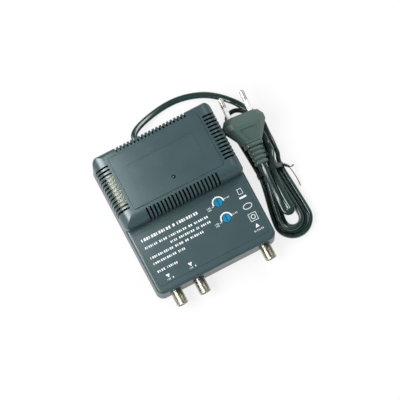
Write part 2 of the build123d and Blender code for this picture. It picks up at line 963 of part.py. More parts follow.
def transformer_tape():
    """The wrap of yellow tape round the winding."""
    low, high = winding_ends()
    inner = leg_clearance + bobbin_wall + tape_fit + winding_depth + tape_fit
    outer = transformer_box(
        core_stack + 2 * (inner + tape_thickness), leg_width + 2 * (inner + tape_thickness), low, high
    )
    outer = fillet(outer.edges().filter_by(Axis.Z), (inner - leg_clearance) / 2 + tape_thickness)
    hole = transformer_box(core_stack + 2 * inner, leg_width + 2 * inner, low - overrun, high + overrun)
    return outer - fillet(hole.edges().filter_by(Axis.Z), (inner - leg_clearance) / 2)


def transformer_pin_places():
    x_size = bobbin_flange_size()[0]
    first = -transformer_pin_pitch * (transformer_pins_per_side - 1) / 2
    ys = [transformer_y + first + transformer_pin_pitch * i for i in range(transformer_pins_per_side)]
    return [(transformer_x + s * (x_size - rail_width) / 2, y) for s in (-1, 1) for y in ys]


def transformer_pins():
    return [upright(transformer_pin_radius, board_bottom - lead_tail, board_top, p) for p in transformer_pin_places()]


# Power supply parts


def smoothing_capacitor():
    """An upright electrolytic capacitor with its crimped groove."""
    place = (capacitor_x, capacitor_y)
    top = board_top + capacitor_height
    can = upright(capacitor_radius, board_top, top, place)
    can = fillet(can.edges().group_by(Axis.Z)[-1], capacitor_top_edge)
    groove_low = board_top + 2 * capacitor_groove_height
    ring = upright(capacitor_radius + overrun, groove_low, groove_low + capacitor_groove_height, place)
    core = upright(capacitor_groove_radius, groove_low - overrun, top + overrun, place)
    return can - (ring - core)


def lying_cylinder(radius, length, centre):
    """A cylinder along X about a centre."""
    return Pos(*centre) * Rot(0, 90, 0) * Cylinder(radius, length)


def rectifier_diodes():
    """Four diodes side by side, each on its bent leads."""
    diodes = []
    height = board_top + diode_lift + diode_radius
    reach = diode_length / 2 + diode_lead_reach
    first = diode_y - diode_pitch * (diode_count - 1) / 2
    for i in range(diode_count):
        y = first + diode_pitch * i
        body = lying_cylinder(diode_radius, diode_length, (diode_x, y, height))
        body = body + lying_cylinder(diode_lead_radius, 2 * reach, (diode_x, y, height))
        legs = [upright(diode_lead_radius, board_top, height, (diode_x + s * reach, y)) for s in (-1, 1)]
        diodes.append(body + legs)
    return diodes


def voltage_regulator():
    """The regulator: moulded body on its metal tab, with three legs to the board."""
    bottom = board_top + regulator_lift
    half = regulator_width / 2
    back = regulator_y
    tab = block_between(
        (regulator_x - half, back, bottom),
        (regulator_x + half, back + regulator_tab_thickness, bottom + regulator_tab_height),
    )
    body = block_between(
        (regulator_x - half, back - regulator_depth, bottom), (regulator_x + half, back, bottom + regulator_height)
    )
    hole_height = bottom + middle_span(regulator_height, regulator_tab_height)
    hole = Plane.XZ.offset(-back) * Pos(regulator_x, hole_height) * Circle(regulator_tab_thickness + screw_passage)
    part = tab + body - extrude(hole, amount=regulator_depth, both=True)
    leg_half = regulator_leg_side / 2
    leg_y = back - regulator_depth / 2
    for i in (-1, 0, 1):
        x = regulator_x + i * regulator_leg_pitch
        low = (x - leg_half, leg_y - leg_half, board_top)
        part = part + block_between(low, (x + leg_half, leg_y + leg_half, bottom))
    return part


def regulator_heatsink():
    """A bent aluminium plate behind the regulator's tab."""
    back = regulator_y + regulator_tab_thickness
    half = sink_width / 2
    plate = block_between(
        (regulator_x - half, back, board_top), (regulator_x + half, back + sink_sheet, board_top + sink_height)
    )
    wings = []
    for side in (-1, 1):
        xs = sorted([regulator_x + side * half, regulator_x + side * (half - sink_sheet)])
        wings.append(block_between((xs[0], back, board_top), (xs[1], back + sink_wing, board_top + sink_height)))
    return plate + wings


def fuse_height():
    return board_top + fuse_lift + fuse_radius


def mains_fuse():
    """A glass fuse with a metal cap on each end."""
    fuse = lying_cylinder(fuse_radius - fuse_cap_rim, fuse_length, (fuse_x, fuse_y, fuse_height()))
    shift = (fuse_length - fuse_cap_length) / 2
    caps = [
        lying_cylinder(fuse_radius, fuse_cap_length, (fuse_x + s * shift, fuse_y, fuse_height())) for s in (-1, 1)
    ]
    return fuse + caps


def fuse_clips():
    """Two spring clips that hold the fuse by its caps."""
    clips = []
    shift = (fuse_length - fuse_cap_length) / 2
    outer = fuse_radius + insulator_fit + clip_sheet
    for side in (-1, 1):
        x = fuse_x + side * shift
        low = (x - clip_width / 2, fuse_y - outer, board_top)
        clip = block_between(low, (x + clip_width / 2, fuse_y + outer, board_top + clip_height))
        seat = lying_cylinder(fuse_radius + insulator_fit, clip_width + overrun, (x, fuse_y, fuse_height()))
        mouth_low = (x - clip_width, fuse_y - fuse_radius - insulator_fit, fuse_height())
        mouth = block_between(mouth_low, (x + clip_width, fuse_y + fuse_radius + insulator_fit, ceiling))
        clips.append(clip - seat - mouth)
    return clips


def mains_terminal():
    """The two-way screw terminal for the mains wires."""
    half = terminal_width / 2
    low = (gland_x - half, terminal_y - terminal_length / 2, board_top)
    body = block_between(low, (gland_x + half, terminal_y + terminal_length / 2, board_top + terminal_height))
    top = board_top + terminal_height
    for side in (-1, 1):
        place = (gland_x + side * terminal_pitch / 2, terminal_y)
        body = body - upright(terminal_screw_radius, top - terminal_screw_depth, top + overrun, place)
    return body


def mains_wires():
    """The two insulated wires from the gland to the terminal."""
    start = terminal_y + terminal_length / 2
    end = back_y - wall - gland_inner_flange
    wires = []
    for side in (-1, 1):
        x = gland_x + side * mains_wire_spread / 2
        disc = Plane.XZ.offset(-end) * Pos(x, parting_height) * Circle(mains_wire_radius)
        wires.append(extrude(disc, amount=end - start))
    return wires


# Amplifier parts in the can


def amplifier_transistors():
    """Three transistors, each a half-round body on three legs."""
    parts = []
    y = front_y + part_row_from_front
    for x in transistor_xs:
        bottom = board_top + transistor_lift
        body = upright(transistor_radius, bottom, bottom + transistor_height, (x, y))
        low = (x - 2 * transistor_radius, y + transistor_flat, board_top)
        high = (x + 2 * transistor_radius, y + 2 * transistor_radius, bottom + transistor_height + overrun)
        body = body - block_between(low, high)
        half = transistor_leg_side / 2
        for i in (-1, 0, 1):
            leg_x = x + i * transistor_leg_pitch
            body = body + block_between((leg_x - half, y - half, board_top), (leg_x + half, y + half, bottom))
        parts.append(body)
    return parts


def splitter_ferrites():
    """Two two-hole ferrite beads of the output splitter."""
    beads = []
    y = front_y + part_row_from_front
    for x in ferrite_xs:
        low = (x - ferrite_width / 2, y - ferrite_length / 2, board_top)
        bead = block_between(low, (x + ferrite_width / 2, y + ferrite_length / 2, board_top + ferrite_height))
        bead = fillet(bead.edges().filter_by(Axis.Y), ferrite_hole)
        plane = Plane.XZ.offset(-y)
        for side in (-1, 1):
            place = Pos(x + side * ferrite_width / 4, board_top + ferrite_height / 2)
            bead = bead - extrude(plane * place * Circle(ferrite_hole), amount=ferrite_length, both=True)
        beads.append(bead)
    return beads


# Mains lead


def cord_section():
    """The flat twin section, wide along X: a rectangle with wide bevels."""
    outline = Rectangle(cord_width, cord_thickness)
    return chamfer(outline.vertices(), cord_edge)


def corner_radii(points):
    """The radius at each corner of a route: as large as its two runs allow."""
    points = [Vector(*p) for p in points]
    radii = []
    for before, corner, after in zip(points, points[1:], points[2:]):
        turn = (corner - before).get_angle(after - corner)
        shorter = min((corner - before).length, (after - corner).length)
        radii.append(fillet_share * shorter / math.tan(math.radians(turn) / 2))
    return radii


def route_wire(points):
    """Straight runs joined by tangent arcs."""
    return FilletPolyline(*points, radius=corner_radii(points))


def swept_cord(path, wide):
    """The cord's section swept along a path, its wide side starting along a direction."""
    start = Plane(origin=path @ 0, x_dir=wide, z_dir=path % 0)
    return sweep(start * cord_section(), path=path)


def quarter_twist(start, end, wide_start, wide_end):
    """A straight stretch in which the cord turns from flat to on edge."""
    start, end = Vector(*start), Vector(*end)
    along = end - start
    sections = []
    for share in twist_shares:
        angle = math.pi / 2 * share
        wide = Vector(*wide_start) * math.cos(angle) + Vector(*wide_end) * math.sin(angle)
        place = Plane(origin=start + along * share, x_dir=wide, z_dir=along)
        sections.append(place * cord_section())
    return loft(sections, ruled=True)


def report_tube(name, solid, path):
    """Prints a tube's length, and its volume beside its section times its length."""
    length = path.length
    area = cord_section().area
    print(f"{name}: length {length:.1f}, volume {solid.volume:.1f}, section times length {area * length:.1f}")


def cord_lead():
    """From the gland along the floor and on to the hank's right side."""
    path = route_wire(lead_route)
    tube = swept_cord(path, (1, 0, 0))
    report_tube("cord_lead", tube, path)
    print("cord_lead radii:", [round(r, 1) for r in corner_radii(lead_route)])
    end = lead_route[-1]
    hank_end = (hank_start_x, hank_start_y, first_layer)
    return tube + quarter_twist(end, hank_end, (1, 0, 0), (0, 0, 1))


def cord_tail():
    """From the hank over its strands, round the fold and up to the plug."""
    path = route_wire(tail_route)
    tube = swept_cord(path, (1, 0, 0))
    report_tube("cord_tail", tube, path)
    print("cord_tail radii:", [round(r, 1) for r in corner_radii(tail_route)])
    start = (right_top_x - lane_step + last_lane_shift, hank_end_y, second_layer)
    return tube + quarter_twist(start, tail_route[0], (0, 0, 1), (1, 0, 0))


def end_turn(start, end, height, way):
    """Half a turn as two quarter arcs, from one lane to another, towards +Y or -Y."""
    side = 1 if end[0] > start[0] else -1
    width = abs(end[0] - start[0])
    rise = (end[1] - start[1]) * way
    first = (width + rise) / 2
    apex = (start[0] + side * first, start[1] + way * first, height)
    begin = (start[0], start[1], height)
    finish = (end[0], end[1], height)
    return [
        TangentArc(begin, apex, tangent=(0, way, 0)),
        TangentArc(apex, finish, tangent=(side, 0, 0)),
    ]


def left_top(lane, top_y):
    """Where a lane of the left side ends at a height of the hank, so that all lanes keep one slope."""
    lean = (left_top_x - left_waist_x) / (first_left_top_y - hank_waist_y - 2 * lane_ease)
    return left_waist_x + lane * lane_step + lean * (top_y - hank_waist_y - 2 * lane_ease)


def left_run(lane, low_height, top_height, top_y):
    """A run up the left side, through the waist, in one lane."""
    low, waist = (x + lane * lane_step for x in (left_low_x, left_waist_x))
    top = left_top(lane, top_y)
    return route_wire(
        [
            (low, hank_low_y, low_height),
            (low, hank_low_y + lane_ease, low_height),
            (waist, hank_waist_y - lane_ease, low_height),
            (waist, hank_waist_y + lane_ease, low_height),
            (top, top_y - lane_ease, top_height),
            (top, top_y, top_height),
        ]
    )


def right_run(lane, height, top_x, top_y):
    """A run down the right side, through the waist, in one lane."""
    low, waist = (x - lane * lane_step for x in (right_low_x, right_waist_x))
    return route_wire(
        [
            (top_x, top_y, height),
            (top_x, top_y - lane_ease, height),
            (waist, hank_waist_y + lane_ease, height),
            (waist, hank_waist_y - lane_ease, height),
            (low, hank_low_y + lane_ease, height),
            (low, hank_low_y, height),
        ]
    )


def hank_path():
    """One unbroken line: it spirals in on the lower layer, climbs, and spirals out on the upper one."""
    lows = [(left_low_x + k * lane_step, right_low_x - k * lane_step) for k in range(3)]
    rights = [right_top_x - k * lane_step for k in range(3)]
    top_ys = [(hank_start_y, first_left_top_y), (first_right_top_y, second_top_y), (second_top_y, upper_top_y)]
    pieces = []
    for lane in range(3):
        start_x = hank_start_x if lane == 0 else rights[lane]
        pieces.append(right_run(lane, first_layer, start_x, top_ys[lane][0]))
        left_low, right_low = lows[lane]
        pieces += end_turn((right_low, hank_low_y), (left_low, hank_low_y), first_layer, -1)
        climbs = lane == 2
        top_height = second_layer if climbs else first_layer
        pieces.append(left_run(lane, first_layer, top_height, top_ys[lane][1]))
        next_lane = lane if climbs else lane + 1
        next_y = upper_top_y if climbs else top_ys[lane + 1][0]
        begin = (left_top(lane, top_ys[lane][1]), top_ys[lane][1])
        pieces += end_turn(begin, (rights[next_lane], next_y), top_height, 1)
    pieces.append(right_run(2, second_layer, rights[2], upper_top_y))
    pieces += end_turn((lows[2][1], hank_low_y), (lows[1][0], hank_low_y), second_layer, -1)
    pieces.append(left_run(1, second_layer, second_layer, upper_top_y))
    begin = (left_top(1, upper_top_y), upper_top_y)
    last_x = rights[1] + last_lane_shift
    pieces += end_turn(begin, (last_x, upper_top_y), second_layer, 1)
    pieces.append(Line((last_x, upper_top_y, second_layer), (last_x, hank_end_y, second_layer)))
    edges = [edge for piece in pieces for edge in piece.edges()]
    return Wire(edges)


def least_gap(path):
    """The least gap of the hank to itself, measured between the middles of its upright section."""
    count = int(path.length / sample_step)
    points = [path @ (i / count) for i in range(count + 1)]
    flat = cord_width - cord_thickness
    skip = int(sample_skip / sample_step)
    best = math.inf
    for i, a in enumerate(points):
        for b in points[i + skip :]:
            across = math.hypot(a.X - b.X, a.Y - b.Y)
            above = max(0.0, abs(a.Z - b.Z) - flat)
            best = min(best, math.hypot(across, above) - cord_thickness)
    return best


def cord_hank():
    """The tied hank, its cord standing on edge."""
    path = hank_path()
    solid = swept_cord(path, (0, 0, 1))
    report_tube("cord_hank", solid, path)
    print(f"cord_hank least gap to itself: {least_gap(path):.2f}")
    return solid


def cord_gland():
    """The moulded gland that the two shells clamp: two flanges and a neck."""
    place = Plane.XZ.offset(-back_y) * Pos(gland_x, parting_height)
    flange = RectangleRounded(gland_width, gland_height, gland_edge)
    outer = extrude(place * flange, amount=-gland_flange)
    outer = chamfer(outer.edges().group_by(Axis.Y)[-1], gland_edge / 2)
    neck = extrude(place * RectangleRounded(gland_neck_width, gland_neck_height, gland_edge), amount=wall)
    inner_place = Plane.XZ.offset(wall - back_y) * Pos(gland_x, parting_height)
    return outer + neck + extrude(inner_place * flange, amount=gland_inner_flange)


def tie_outline():
    """The strands at the waist, wrapped: the outline that the tie follows."""
    half_wide, half_tall = cord_thickness / 2, cord_width / 2
    base_left, base_right = left_waist_x - half_wide, right_waist_x + half_wide
    top = tie_over_z + half_wide
    low = first_layer - half_tall
    points = [
        (base_left, low),
        (base_right, low),
        (base_right, first_layer + half_tall),
        (tie_over_x + tie_over_width / 2, top),
        (tie_over_x - tie_over_width / 2, top),
        (left_waist_x + lane_step - half_wide, second_layer + half_tall),
        (base_left, first_layer + half_tall),
    ]
    return make_face(Polyline(*points, close=True))


def tie_knot():
    """The knot of the tie: its two ends turned once round each other."""
    start = Vector(*knot_start)
    along = Vector(*tie_long_end[0]) - start
    strips = [Pos(s * knot_strip_shift, 0) * Circle(knot_strip_radius) for s in (-1, 1)]
    section = (Plane(origin=start, z_dir=along) * joined(strips)).face()
    return Solid.extrude_linear_with_rotation(section, start, along, full_turn)


def tie_end(points):
    """One free end of the tie: a flat strip along a route."""
    path = route_wire(points)
    start = Plane(origin=path @ 0, x_dir=(0, 0, 1), z_dir=path % 0)
    return sweep(start * Rectangle(tie_end_width, tie_thickness), path=path)


def twist_tie():
    """The tie: a flat band round the waist, twisted into a short knot, with two free ends."""
    plane = Plane.XZ.offset(-(hank_waist_y + tie_width / 2))
    inner = offset(tie_outline(), tie_gap, kind=Kind.INTERSECTION)
    outer = offset(inner, tie_thickness, kind=Kind.ARC)
    band = extrude(plane * (outer - inner), amount=tie_width)
    return band + tie_knot() + tie_end(tie_long_end) + tie_end(tie_short_end)


# Plug


def plug_plane(distance):
    """A plane across the plug's axis, a distance past the end of the cord, with X across the pins."""
    start, end = Vector(*tail_route[-2]), Vector(*tail_route[-1])
    along = (end - start).normalized()
    across = along.cross(Vector(0, 0, 1)).rotate(Axis((0, 0, 0), along), plug_roll)
    return Plane(origin=end + along * distance, x_dir=across, z_dir=along)


def plug_section(width, flat_width, thickness, side):
    """A flattened eight-sided section: flats above and below, slopes, and low upright sides."""
    half, flat, tall, low = width / 2, flat_width / 2, thickness / 2, side / 2
    points = [
        (-half, -low),
        (-flat, -tall),
        (flat, -tall),
        (half, -low),
        (half, low),
        (flat, tall),
        (-flat, tall),
        (-half, low),
    ]
    return make_face(Polyline(*points, close=True))


def plug_recess():
    """The cutter for the shallow field on top of the plug, laid along the rise of that face."""
    rise = (plug_thickness - plug_collar_thickness) / 2
    run = plug_length - plug_nose_length - plug_shoulder_length
    across = plug_plane(relief_length + plug_field_shift)
    height = plug_collar_thickness / 2 + rise * plug_field_shift / run
    up = across.z_dir.cross(across.x_dir) * -1
    face = Plane(
        origin=across.origin + up * height, x_dir=across.x_dir, z_dir=up * run - across.z_dir * rise
    )
    field = RectangleRounded(plug_field_width, plug_field_length, plug_field_corner)
    return extrude(face * field, amount=plug_field_depth, both=True)


def plug_body():
    """The moulded plug: a narrow collar that widens to the shoulders and a face drawn in for the pins."""
    start = relief_length
    widest = start + plug_length - plug_nose_length - plug_shoulder_length
    shoulder_end = start + plug_length - plug_nose_length
    flat_share = plug_flat_width / plug_width
    side = plug_side_height
    collar = plug_section(
        plug_collar_width, plug_collar_width * flat_share, plug_collar_thickness, side
    )
    wide = plug_section(plug_width, plug_flat_width, plug_thickness, side)
    face = plug_section(plug_face_width, plug_face_width * flat_share, plug_thickness, side)
    lower = loft([plug_plane(start) * collar, plug_plane(widest) * wide], ruled=True)
    middle = loft([plug_plane(widest) * wide, plug_plane(shoulder_end) * wide], ruled=True)
    nose = loft([plug_plane(shoulder_end) * wide, plug_plane(start + plug_length) * face], ruled=True)
    body = lower + middle + nose
    body = body - plug_recess()
    seat_plane = plug_plane(start + plug_length)
    for side_of in (-1, 1):
        hole = seat_plane * Pos(side_of * pin_spacing / 2, 0) * Circle(pin_neck_radius + sleeve_fit)
        body = body - extrude(hole, amount=-pin_seat)
    return body


def plug_strain_relief():
    """The ribbed strain relief: a tapered sleeve with grooves cut round it."""
    def section(width, thickness):
        return RectangleRounded(width, thickness, min(width, thickness) / 2 - rib_edge)

    sleeve = loft(
        [
            plug_plane(0) * section(relief_end_width, relief_end_thickness),
            plug_plane(relief_length) * section(relief_start_width, relief_start_thickness),
        ]
    )
    collar = plug_plane(relief_length - relief_collar) * section(
        relief_start_width + 2 * relief_collar_grow, relief_start_thickness + relief_collar_grow
    )
    sleeve = sleeve + extrude(collar, amount=relief_collar)
    pitch = (relief_length - relief_collar) / rib_count
    for i in range(1, rib_count):
        ring = section(relief_start_width + overrun, relief_start_thickness + overrun)
        ring = ring - section(relief_end_width - rib_depth, relief_end_thickness - rib_depth)
        sleeve = sleeve - extrude(plug_plane(i * pitch) * ring, amount=rib_groove)
    return sleeve


def plug_pins():
    """Two round metal pins, thinner under their sleeves."""
    face = relief_length + plug_length
    pins = []
    for side in (-1, 1):
        place = Pos(side * pin_spacing / 2, 0)
        neck = extrude(plug_plane(face - pin_seat) * place * Circle(pin_neck_radius), amount=pin_seat + pin_sleeve_length)
        tip = extrude(
            plug_plane(face + pin_sleeve_length) * place * Circle(pin_radius), amount=pin_length - pin_sleeve_length
        )
        rims = tip.edges().filter_by(GeomType.CIRCLE)
        end = rims.sort_by_distance(plug_plane(face + pin_length).origin)[:1]
        pins.append(neck + chamfer(end, pin_tip_edge))
    return pins


def pin_sleeves():
    """The insulating sleeves of the pins."""
    face = relief_length + plug_length
    sleeves = []
    for side in (-1, 1):
        place = Pos(side * pin_spacing / 2, 0)
        ring = Circle(pin_radius) - Circle(pin_neck_radius + sleeve_fit)
        sleeves.append(extrude(plug_plane(face + sleeve_fit) * place * ring, amount=pin_sleeve_length - sleeve_fit))
    return sleeves


def write(name, shapes):
    """Writes one sub-part, with its solids kept separate."""
    shapes = shapes if isinstance(shapes, list) else [shapes]
    solids = [solid for shape in shapes for solid in shape.solids()]
    part = solids[0] if len(solids) == 1 else Compound(children=solids)
    part.label = name
    export_step(part, f"parts/{name}.step")


def main():
    os.makedirs("parts", exist_ok=True)
    write("top_cover", top_cover())
    write("bottom_tray", bottom_tray())
    write("feet", feet())
    write("housing_screws", housing_screws())
    write("circuit_board", circuit_board())
    write("board_screws", board_screws())
    for name, x in socket_xs.items():
        write(name, aerial_socket(x))
    write("socket_insulators", [socket_insulator(x) for x in socket_xs.values()])
    write("socket_contacts", [socket_contact(x) for x in socket_xs.values()])
    write("shield_frame", shield_frame())
    write("shield_lid", shield_lid())
    write("trimmer_bodies", trimmer_bodies())
    for name, y in dial_ys.items():
        write(name, gain_dial(y))
    write("power_lamp", power_lamp())
    write("lamp_leads", lamp_leads())
    write("lamp_spacer", lamp_spacer())
    write("transformer_core", transformer_core())
    write("transformer_bobbin", transformer_bobbin())
    write("transformer_winding", transformer_winding())
    write("transformer_tape", transformer_tape())
    write("transformer_pins", transformer_pins())
    write("smoothing_capacitor", smoothing_capacitor())
    write("rectifier_diodes", rectifier_diodes())
    write("voltage_regulator", voltage_regulator())
    write("regulator_heatsink", regulator_heatsink())
    write("mains_fuse", mains_fuse())
    write("fuse_clips", fuse_clips())
    write("mains_terminal", mains_terminal())
    write("mains_wires", mains_wires())
    write("amplifier_transistors", amplifier_transistors())
    write("splitter_ferrites", splitter_ferrites())
    write("cord_gland", cord_gland())
    write("cord_lead", cord_lead())
    write("cord_hank", cord_hank())
    write("cord_tail", cord_tail())
    write("twist_tie", twist_tie())
    write("plug_body", plug_body())
    write("plug_strain_relief", plug_strain_relief())
    write("plug_pins", plug_pins())
    write("pin_sleeves", pin_sleeves())


main()
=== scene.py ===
import math

import bmesh
import bpy
from bpy.props import FloatProperty, FloatVectorProperty, IntProperty, PointerProperty
from mathutils import Matrix, Vector


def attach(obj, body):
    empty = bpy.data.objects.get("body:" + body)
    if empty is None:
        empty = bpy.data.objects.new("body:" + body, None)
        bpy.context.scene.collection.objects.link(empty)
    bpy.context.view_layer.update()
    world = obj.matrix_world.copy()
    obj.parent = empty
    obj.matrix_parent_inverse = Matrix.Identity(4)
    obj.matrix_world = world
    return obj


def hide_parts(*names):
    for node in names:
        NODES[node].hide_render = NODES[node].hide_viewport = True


bl_info = {
    "name": "Aerial Amplifier",
    "version": (1, 0, 0),
    "blender": (4, 5, 0),
    "location": "View3D > Sidebar > Amplifier",
    "description": "Dresses the aerial amplifier: finishes, marks, threads, cord, plug and studio",
    "category": "Object",
}

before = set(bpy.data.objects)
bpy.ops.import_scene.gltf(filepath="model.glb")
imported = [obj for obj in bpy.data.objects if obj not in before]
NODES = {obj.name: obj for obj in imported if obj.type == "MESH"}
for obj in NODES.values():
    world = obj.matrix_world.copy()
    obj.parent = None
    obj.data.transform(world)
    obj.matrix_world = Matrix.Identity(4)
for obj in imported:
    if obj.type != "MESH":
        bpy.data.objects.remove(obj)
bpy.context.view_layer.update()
HOUSING = "housing"

# Lengths in Blender are in metres, and MM turns millimetres into them
MM = 0.001
QUARTER_TURN = math.pi / 2
FULL_TURN = 2 * math.pi
# How far each corner of a half turn lies from its middle, as a share of the turn's radius
TURN_CORNER = math.tan(math.pi / 8)

# The mains cord's route in millimetres: from the gland to the hank, and from the hank to the plug
LEAD_ROUTE = [
    (-10.5, 67.3, 12.4),
    (-10.5, 71.6, 12.4),
    (-6.2, 75.6, 10.8),
    (1.4, 79.0, 7.6),
    (11.8, 82.0, 4.3),
    (22.8, 83.9, 2.4),
    (34.2, 84.0, 1.9),
    (45.6, 81.6, 1.9),
    (56.2, 77.3, 2.0),
    (65.0, 70.9, 2.1),
    (71.4, 63.9, 3.5),
    (75.3, 57.8, 7.5),
    (78.3, 52.0, 8.5),
    (81.9, 46.8, 8.3),
    (84.9, 41.2, 7.2),
    (85.6, 35.2, 4.7),
    (85.0, 28.9, 3.3),
    (85.0, 22.0, 3.3),
]
TAIL_ROUTE = [
    (80.75, 23.3, 8.95),
    (80.75, 17.8, 8.95),
    (80.6, 12.6, 12.0),
    (78.0, 6.6, 13.9),
    (75.0, 0.4, 14.1),
    (73.3, -7.0, 13.9),
    (72.8, -15.5, 13.7),
    (72.6, -24.0, 13.6),
    (72.9, -31.0, 13.55),
    (73.5, -36.2, 13.5),
    (72.0, -38.6, 13.5),
    (69.2, -38.6, 13.5),
    (67.2, -36.2, 13.55),
    (67.5, -31.0, 13.7),
    (67.5, -24.0, 14.3),
    (67.5, -16.3, 16.1),
    (67.7, -8.6, 18.8),
    (68.0, -1.0, 20.9),
    (68.3, 4.0, 20.9),
]

# The tail leans to one side past this point of its route, counted from 0
FOLD_POINT = 13
TAIL_TILT = math.radians(-28)

# The hank in millimetres: lanes that lie beside each other, counted from the outside, in two layers
LANE_COUNT = 3
LANE_STEP = 3.75
LANE_EASE = 5.0
LOW_Y = -42.6
WAIST_Y = -1.4
LEFT_LOW_X = 56.6
LEFT_WAIST_X = 63.8
LEFT_TOP_X = 61.4
RIGHT_LOW_X = 85.0
RIGHT_WAIST_X = 82.5
RIGHT_TOP_X = 84.0
# Where each lane's right side and left side reach their tops
TOP_YS = [(14.0, 49.0), (42.15, 42.0), (42.0, 36.5)]
FIRST_TOP_Y = TOP_YS[0][1]
UPPER_TOP_Y = TOP_YS[-1][1]
START_X = LEAD_ROUTE[-1][0]
HANK_END_Y = 31.3
LAST_LANE_SHIFT = 0.5
FIRST_LAYER = 3.3
SECOND_LAYER = 8.95
# Steps round each half of the cord's section
SECTION_STEPS = 8

# Where metal has tarnished
TARNISH = (0.5, 0.46, 0.38)
# Plain plastic inside the housing: material, colour, roughness and node
INNER_PLASTICS = [
    ("trimmer_plastic", (0.03, 0.03, 0.03), 0.5, "trimmer_bodies"),
    ("spacer_plastic", (0.03, 0.03, 0.03), 0.6, "lamp_spacer"),
    ("bobbin_plastic", (0.86, 0.86, 0.48), 0.45, "transformer_bobbin"),
    ("capacitor_sleeve", (0.03, 0.03, 0.06), 0.25, "smoothing_capacitor"),
    ("diode_black", (0.02, 0.02, 0.02), 0.35, "rectifier_diodes"),
    ("regulator_black", (0.02, 0.02, 0.02), 0.5, "voltage_regulator"),
    ("terminal_plastic", (0.04, 0.18, 0.07), 0.45, "mains_terminal"),
    ("wire_insulation", (0.06, 0.12, 0.35), 0.35, "mains_wires"),
    ("transistor_black", (0.02, 0.02, 0.02), 0.5, "amplifier_transistors"),
]

# The studio in metres
FAR_CLIP_DISTANCES = 4
KEY_PLACE = (-0.58, 0.0, 0.75)
KEY_SIZE = 0.52
FILL_PLACE = (0.9, 0.6, 0.9)
FILL_SIZE = 0.4
CARD_PLACE = (-0.108, 0.08, 0.15)
CARD_SIZE = (0.13, 0.13)
FLOOR_SIZE = 3.0
FLOOR_DROP = 0.1 * MM
FLOOR_COLOUR = (0.86, 0.86, 0.86, 1.0)
FLOOR_ROUGHNESS = 0.9
# Share of plain white in the floor where the camera or a reflection sees it
FLOOR_GLOW = 0.8
WHITE = (1.0, 1.0, 1.0, 1.0)

# The sockets in millimetres: where each stands, and its places and radii from tip to end
SOCKETS = {"output_1_socket": -37.6, "output_2_socket": -17.6, "antenna_socket": 40.4}
SOCKET_Z = 12.4
SOCKET_TIP_Y = -65.0
SOCKET_NECK_Y = -53.5
SOCKET_FLANGE_YS = (-50.8, -49.6)
SOCKET_END_Y = -44.6
SOCKET_BORE = 3.9
SOCKET_BEVEL = 0.45
SOCKET_NECK = 4.4
SOCKET_FLANGE = 5.6
SOCKET_SHANK = 4.2
# How far the barrel stands over the root of its thread, and how far behind the tip that starts
CORE_RISE = 0.05
THREAD_START = 0.35
# Shares of the pitch that are flat on top and at the bottom
CREST_SHARE = 0.18
ROOT_SHARE = 0.12

# The plug in millimetres: where the cord ends, which way the plug points, and how far it is rolled
PLUG_START = Vector(TAIL_ROUTE[-1])
PLUG_ALONG = Vector((0.3, 5.0, 0.0)).normalized()
PLUG_ROLL = math.radians(12)
PLUG_EDGE = 0.4
PLUG_EDGE_STEPS = 4
SHARP_ANGLE = math.radians(40)
# The collars round the two pins
PIN_SHIFT = 9.3
COLLAR_RADIUS = 3.2
COLLAR_SLOPE = 0.5
COLLAR_HEIGHT = 0.35
COLLAR_STEPS = 24
# The shallow field on top
UPWARD = 0.9
FIELD_MARGIN = 2.4
FIELD_DEPTH = 0.9
FIELD_WALL = 0.3
# Half width and half height at distances from the cord's end
PLUG_STATIONS = [(18.0, 7.75, 5.5), (33.0, 17.65, 6.85), (37.5, 17.65, 6.85), (42.0, 14.5, 6.85)]
# A quarter of each section, as shares of its half width and half height
PLUG_QUARTER_SHARES = [(1.0, 0.31), (0.65, 1.0)]
RELIEF_QUARTER_SHARES = [(1.0, 0.2), (0.97, 0.6), (0.84, 0.88), (0.6, 1.0), (0.25, 1.0)]
# The strain relief: half width and half height at its start, before its collar and at the collar
RELIEF_LENGTH = 18.0
RELIEF_COLLAR = 3.0
RELIEF_START = (5.4, 3.7)
RELIEF_END = (6.1, 4.5)
RELIEF_COLLAR_SIZE = (7.6, 5.3)
RIB_COUNT = 4
RIB_GROOVE = 1.15
GROOVE_DEPTH = 1.35
RIB_ROUND = 0.3
RELIEF_SUBDIVISIONS = 2

# Marks on the low part in millimetres. A row of plain blocks has a place along Y, a left end, and
# the lengths of its groups
PANEL_Z = 25.4
MARK_THICKNESS = 0.03
HEADING_Y = -7.8
HEADING_BARS = (-44.5, [26.0, 2.4, 18.6])
ROWS = [
    (-14.3, -44.5, [11.0, 7.2, 15.6, 3.8, 12.4]),
    (-18.8, -24.5, [6.2, 13.8, 2.8, 8.6]),
    (-23.3, -44.5, [20.4, 7.4, 3.4, 11.6]),
    (-28.3, -44.5, [20.6, 6.2]),
    (-35.3, -44.5, [7.0, 9.6]),
]
GROUP_GAP = 1.4
HEADING_HEIGHT = 2.3
ROW_HEIGHT = 1.75
SMALL_HEIGHT = 1.25
# A block's step as a share of its height, the gap after it, and how wide a narrow one is
BLOCK_SHARE = 0.95
BLOCK_GAP = 0.7
NARROW_BLOCK = 0.55
NARROW_EVERY = 3
# Triangles at the sockets: place, the way they point, and the row under each, so far down and left
OUTPUT_ROW = (3.2, 2.0, [3.4, 1.4])
AERIAL_ROW = (3.4, 4.0, [8.4])
TRIANGLES = [
    (-38.5, -41.2, -1, OUTPUT_ROW),
    (-19.0, -41.2, -1, OUTPUT_ROW),
    (41.5, -38.6, 1, AERIAL_ROW),
]
TRIANGLE_RADIUS = 2.0
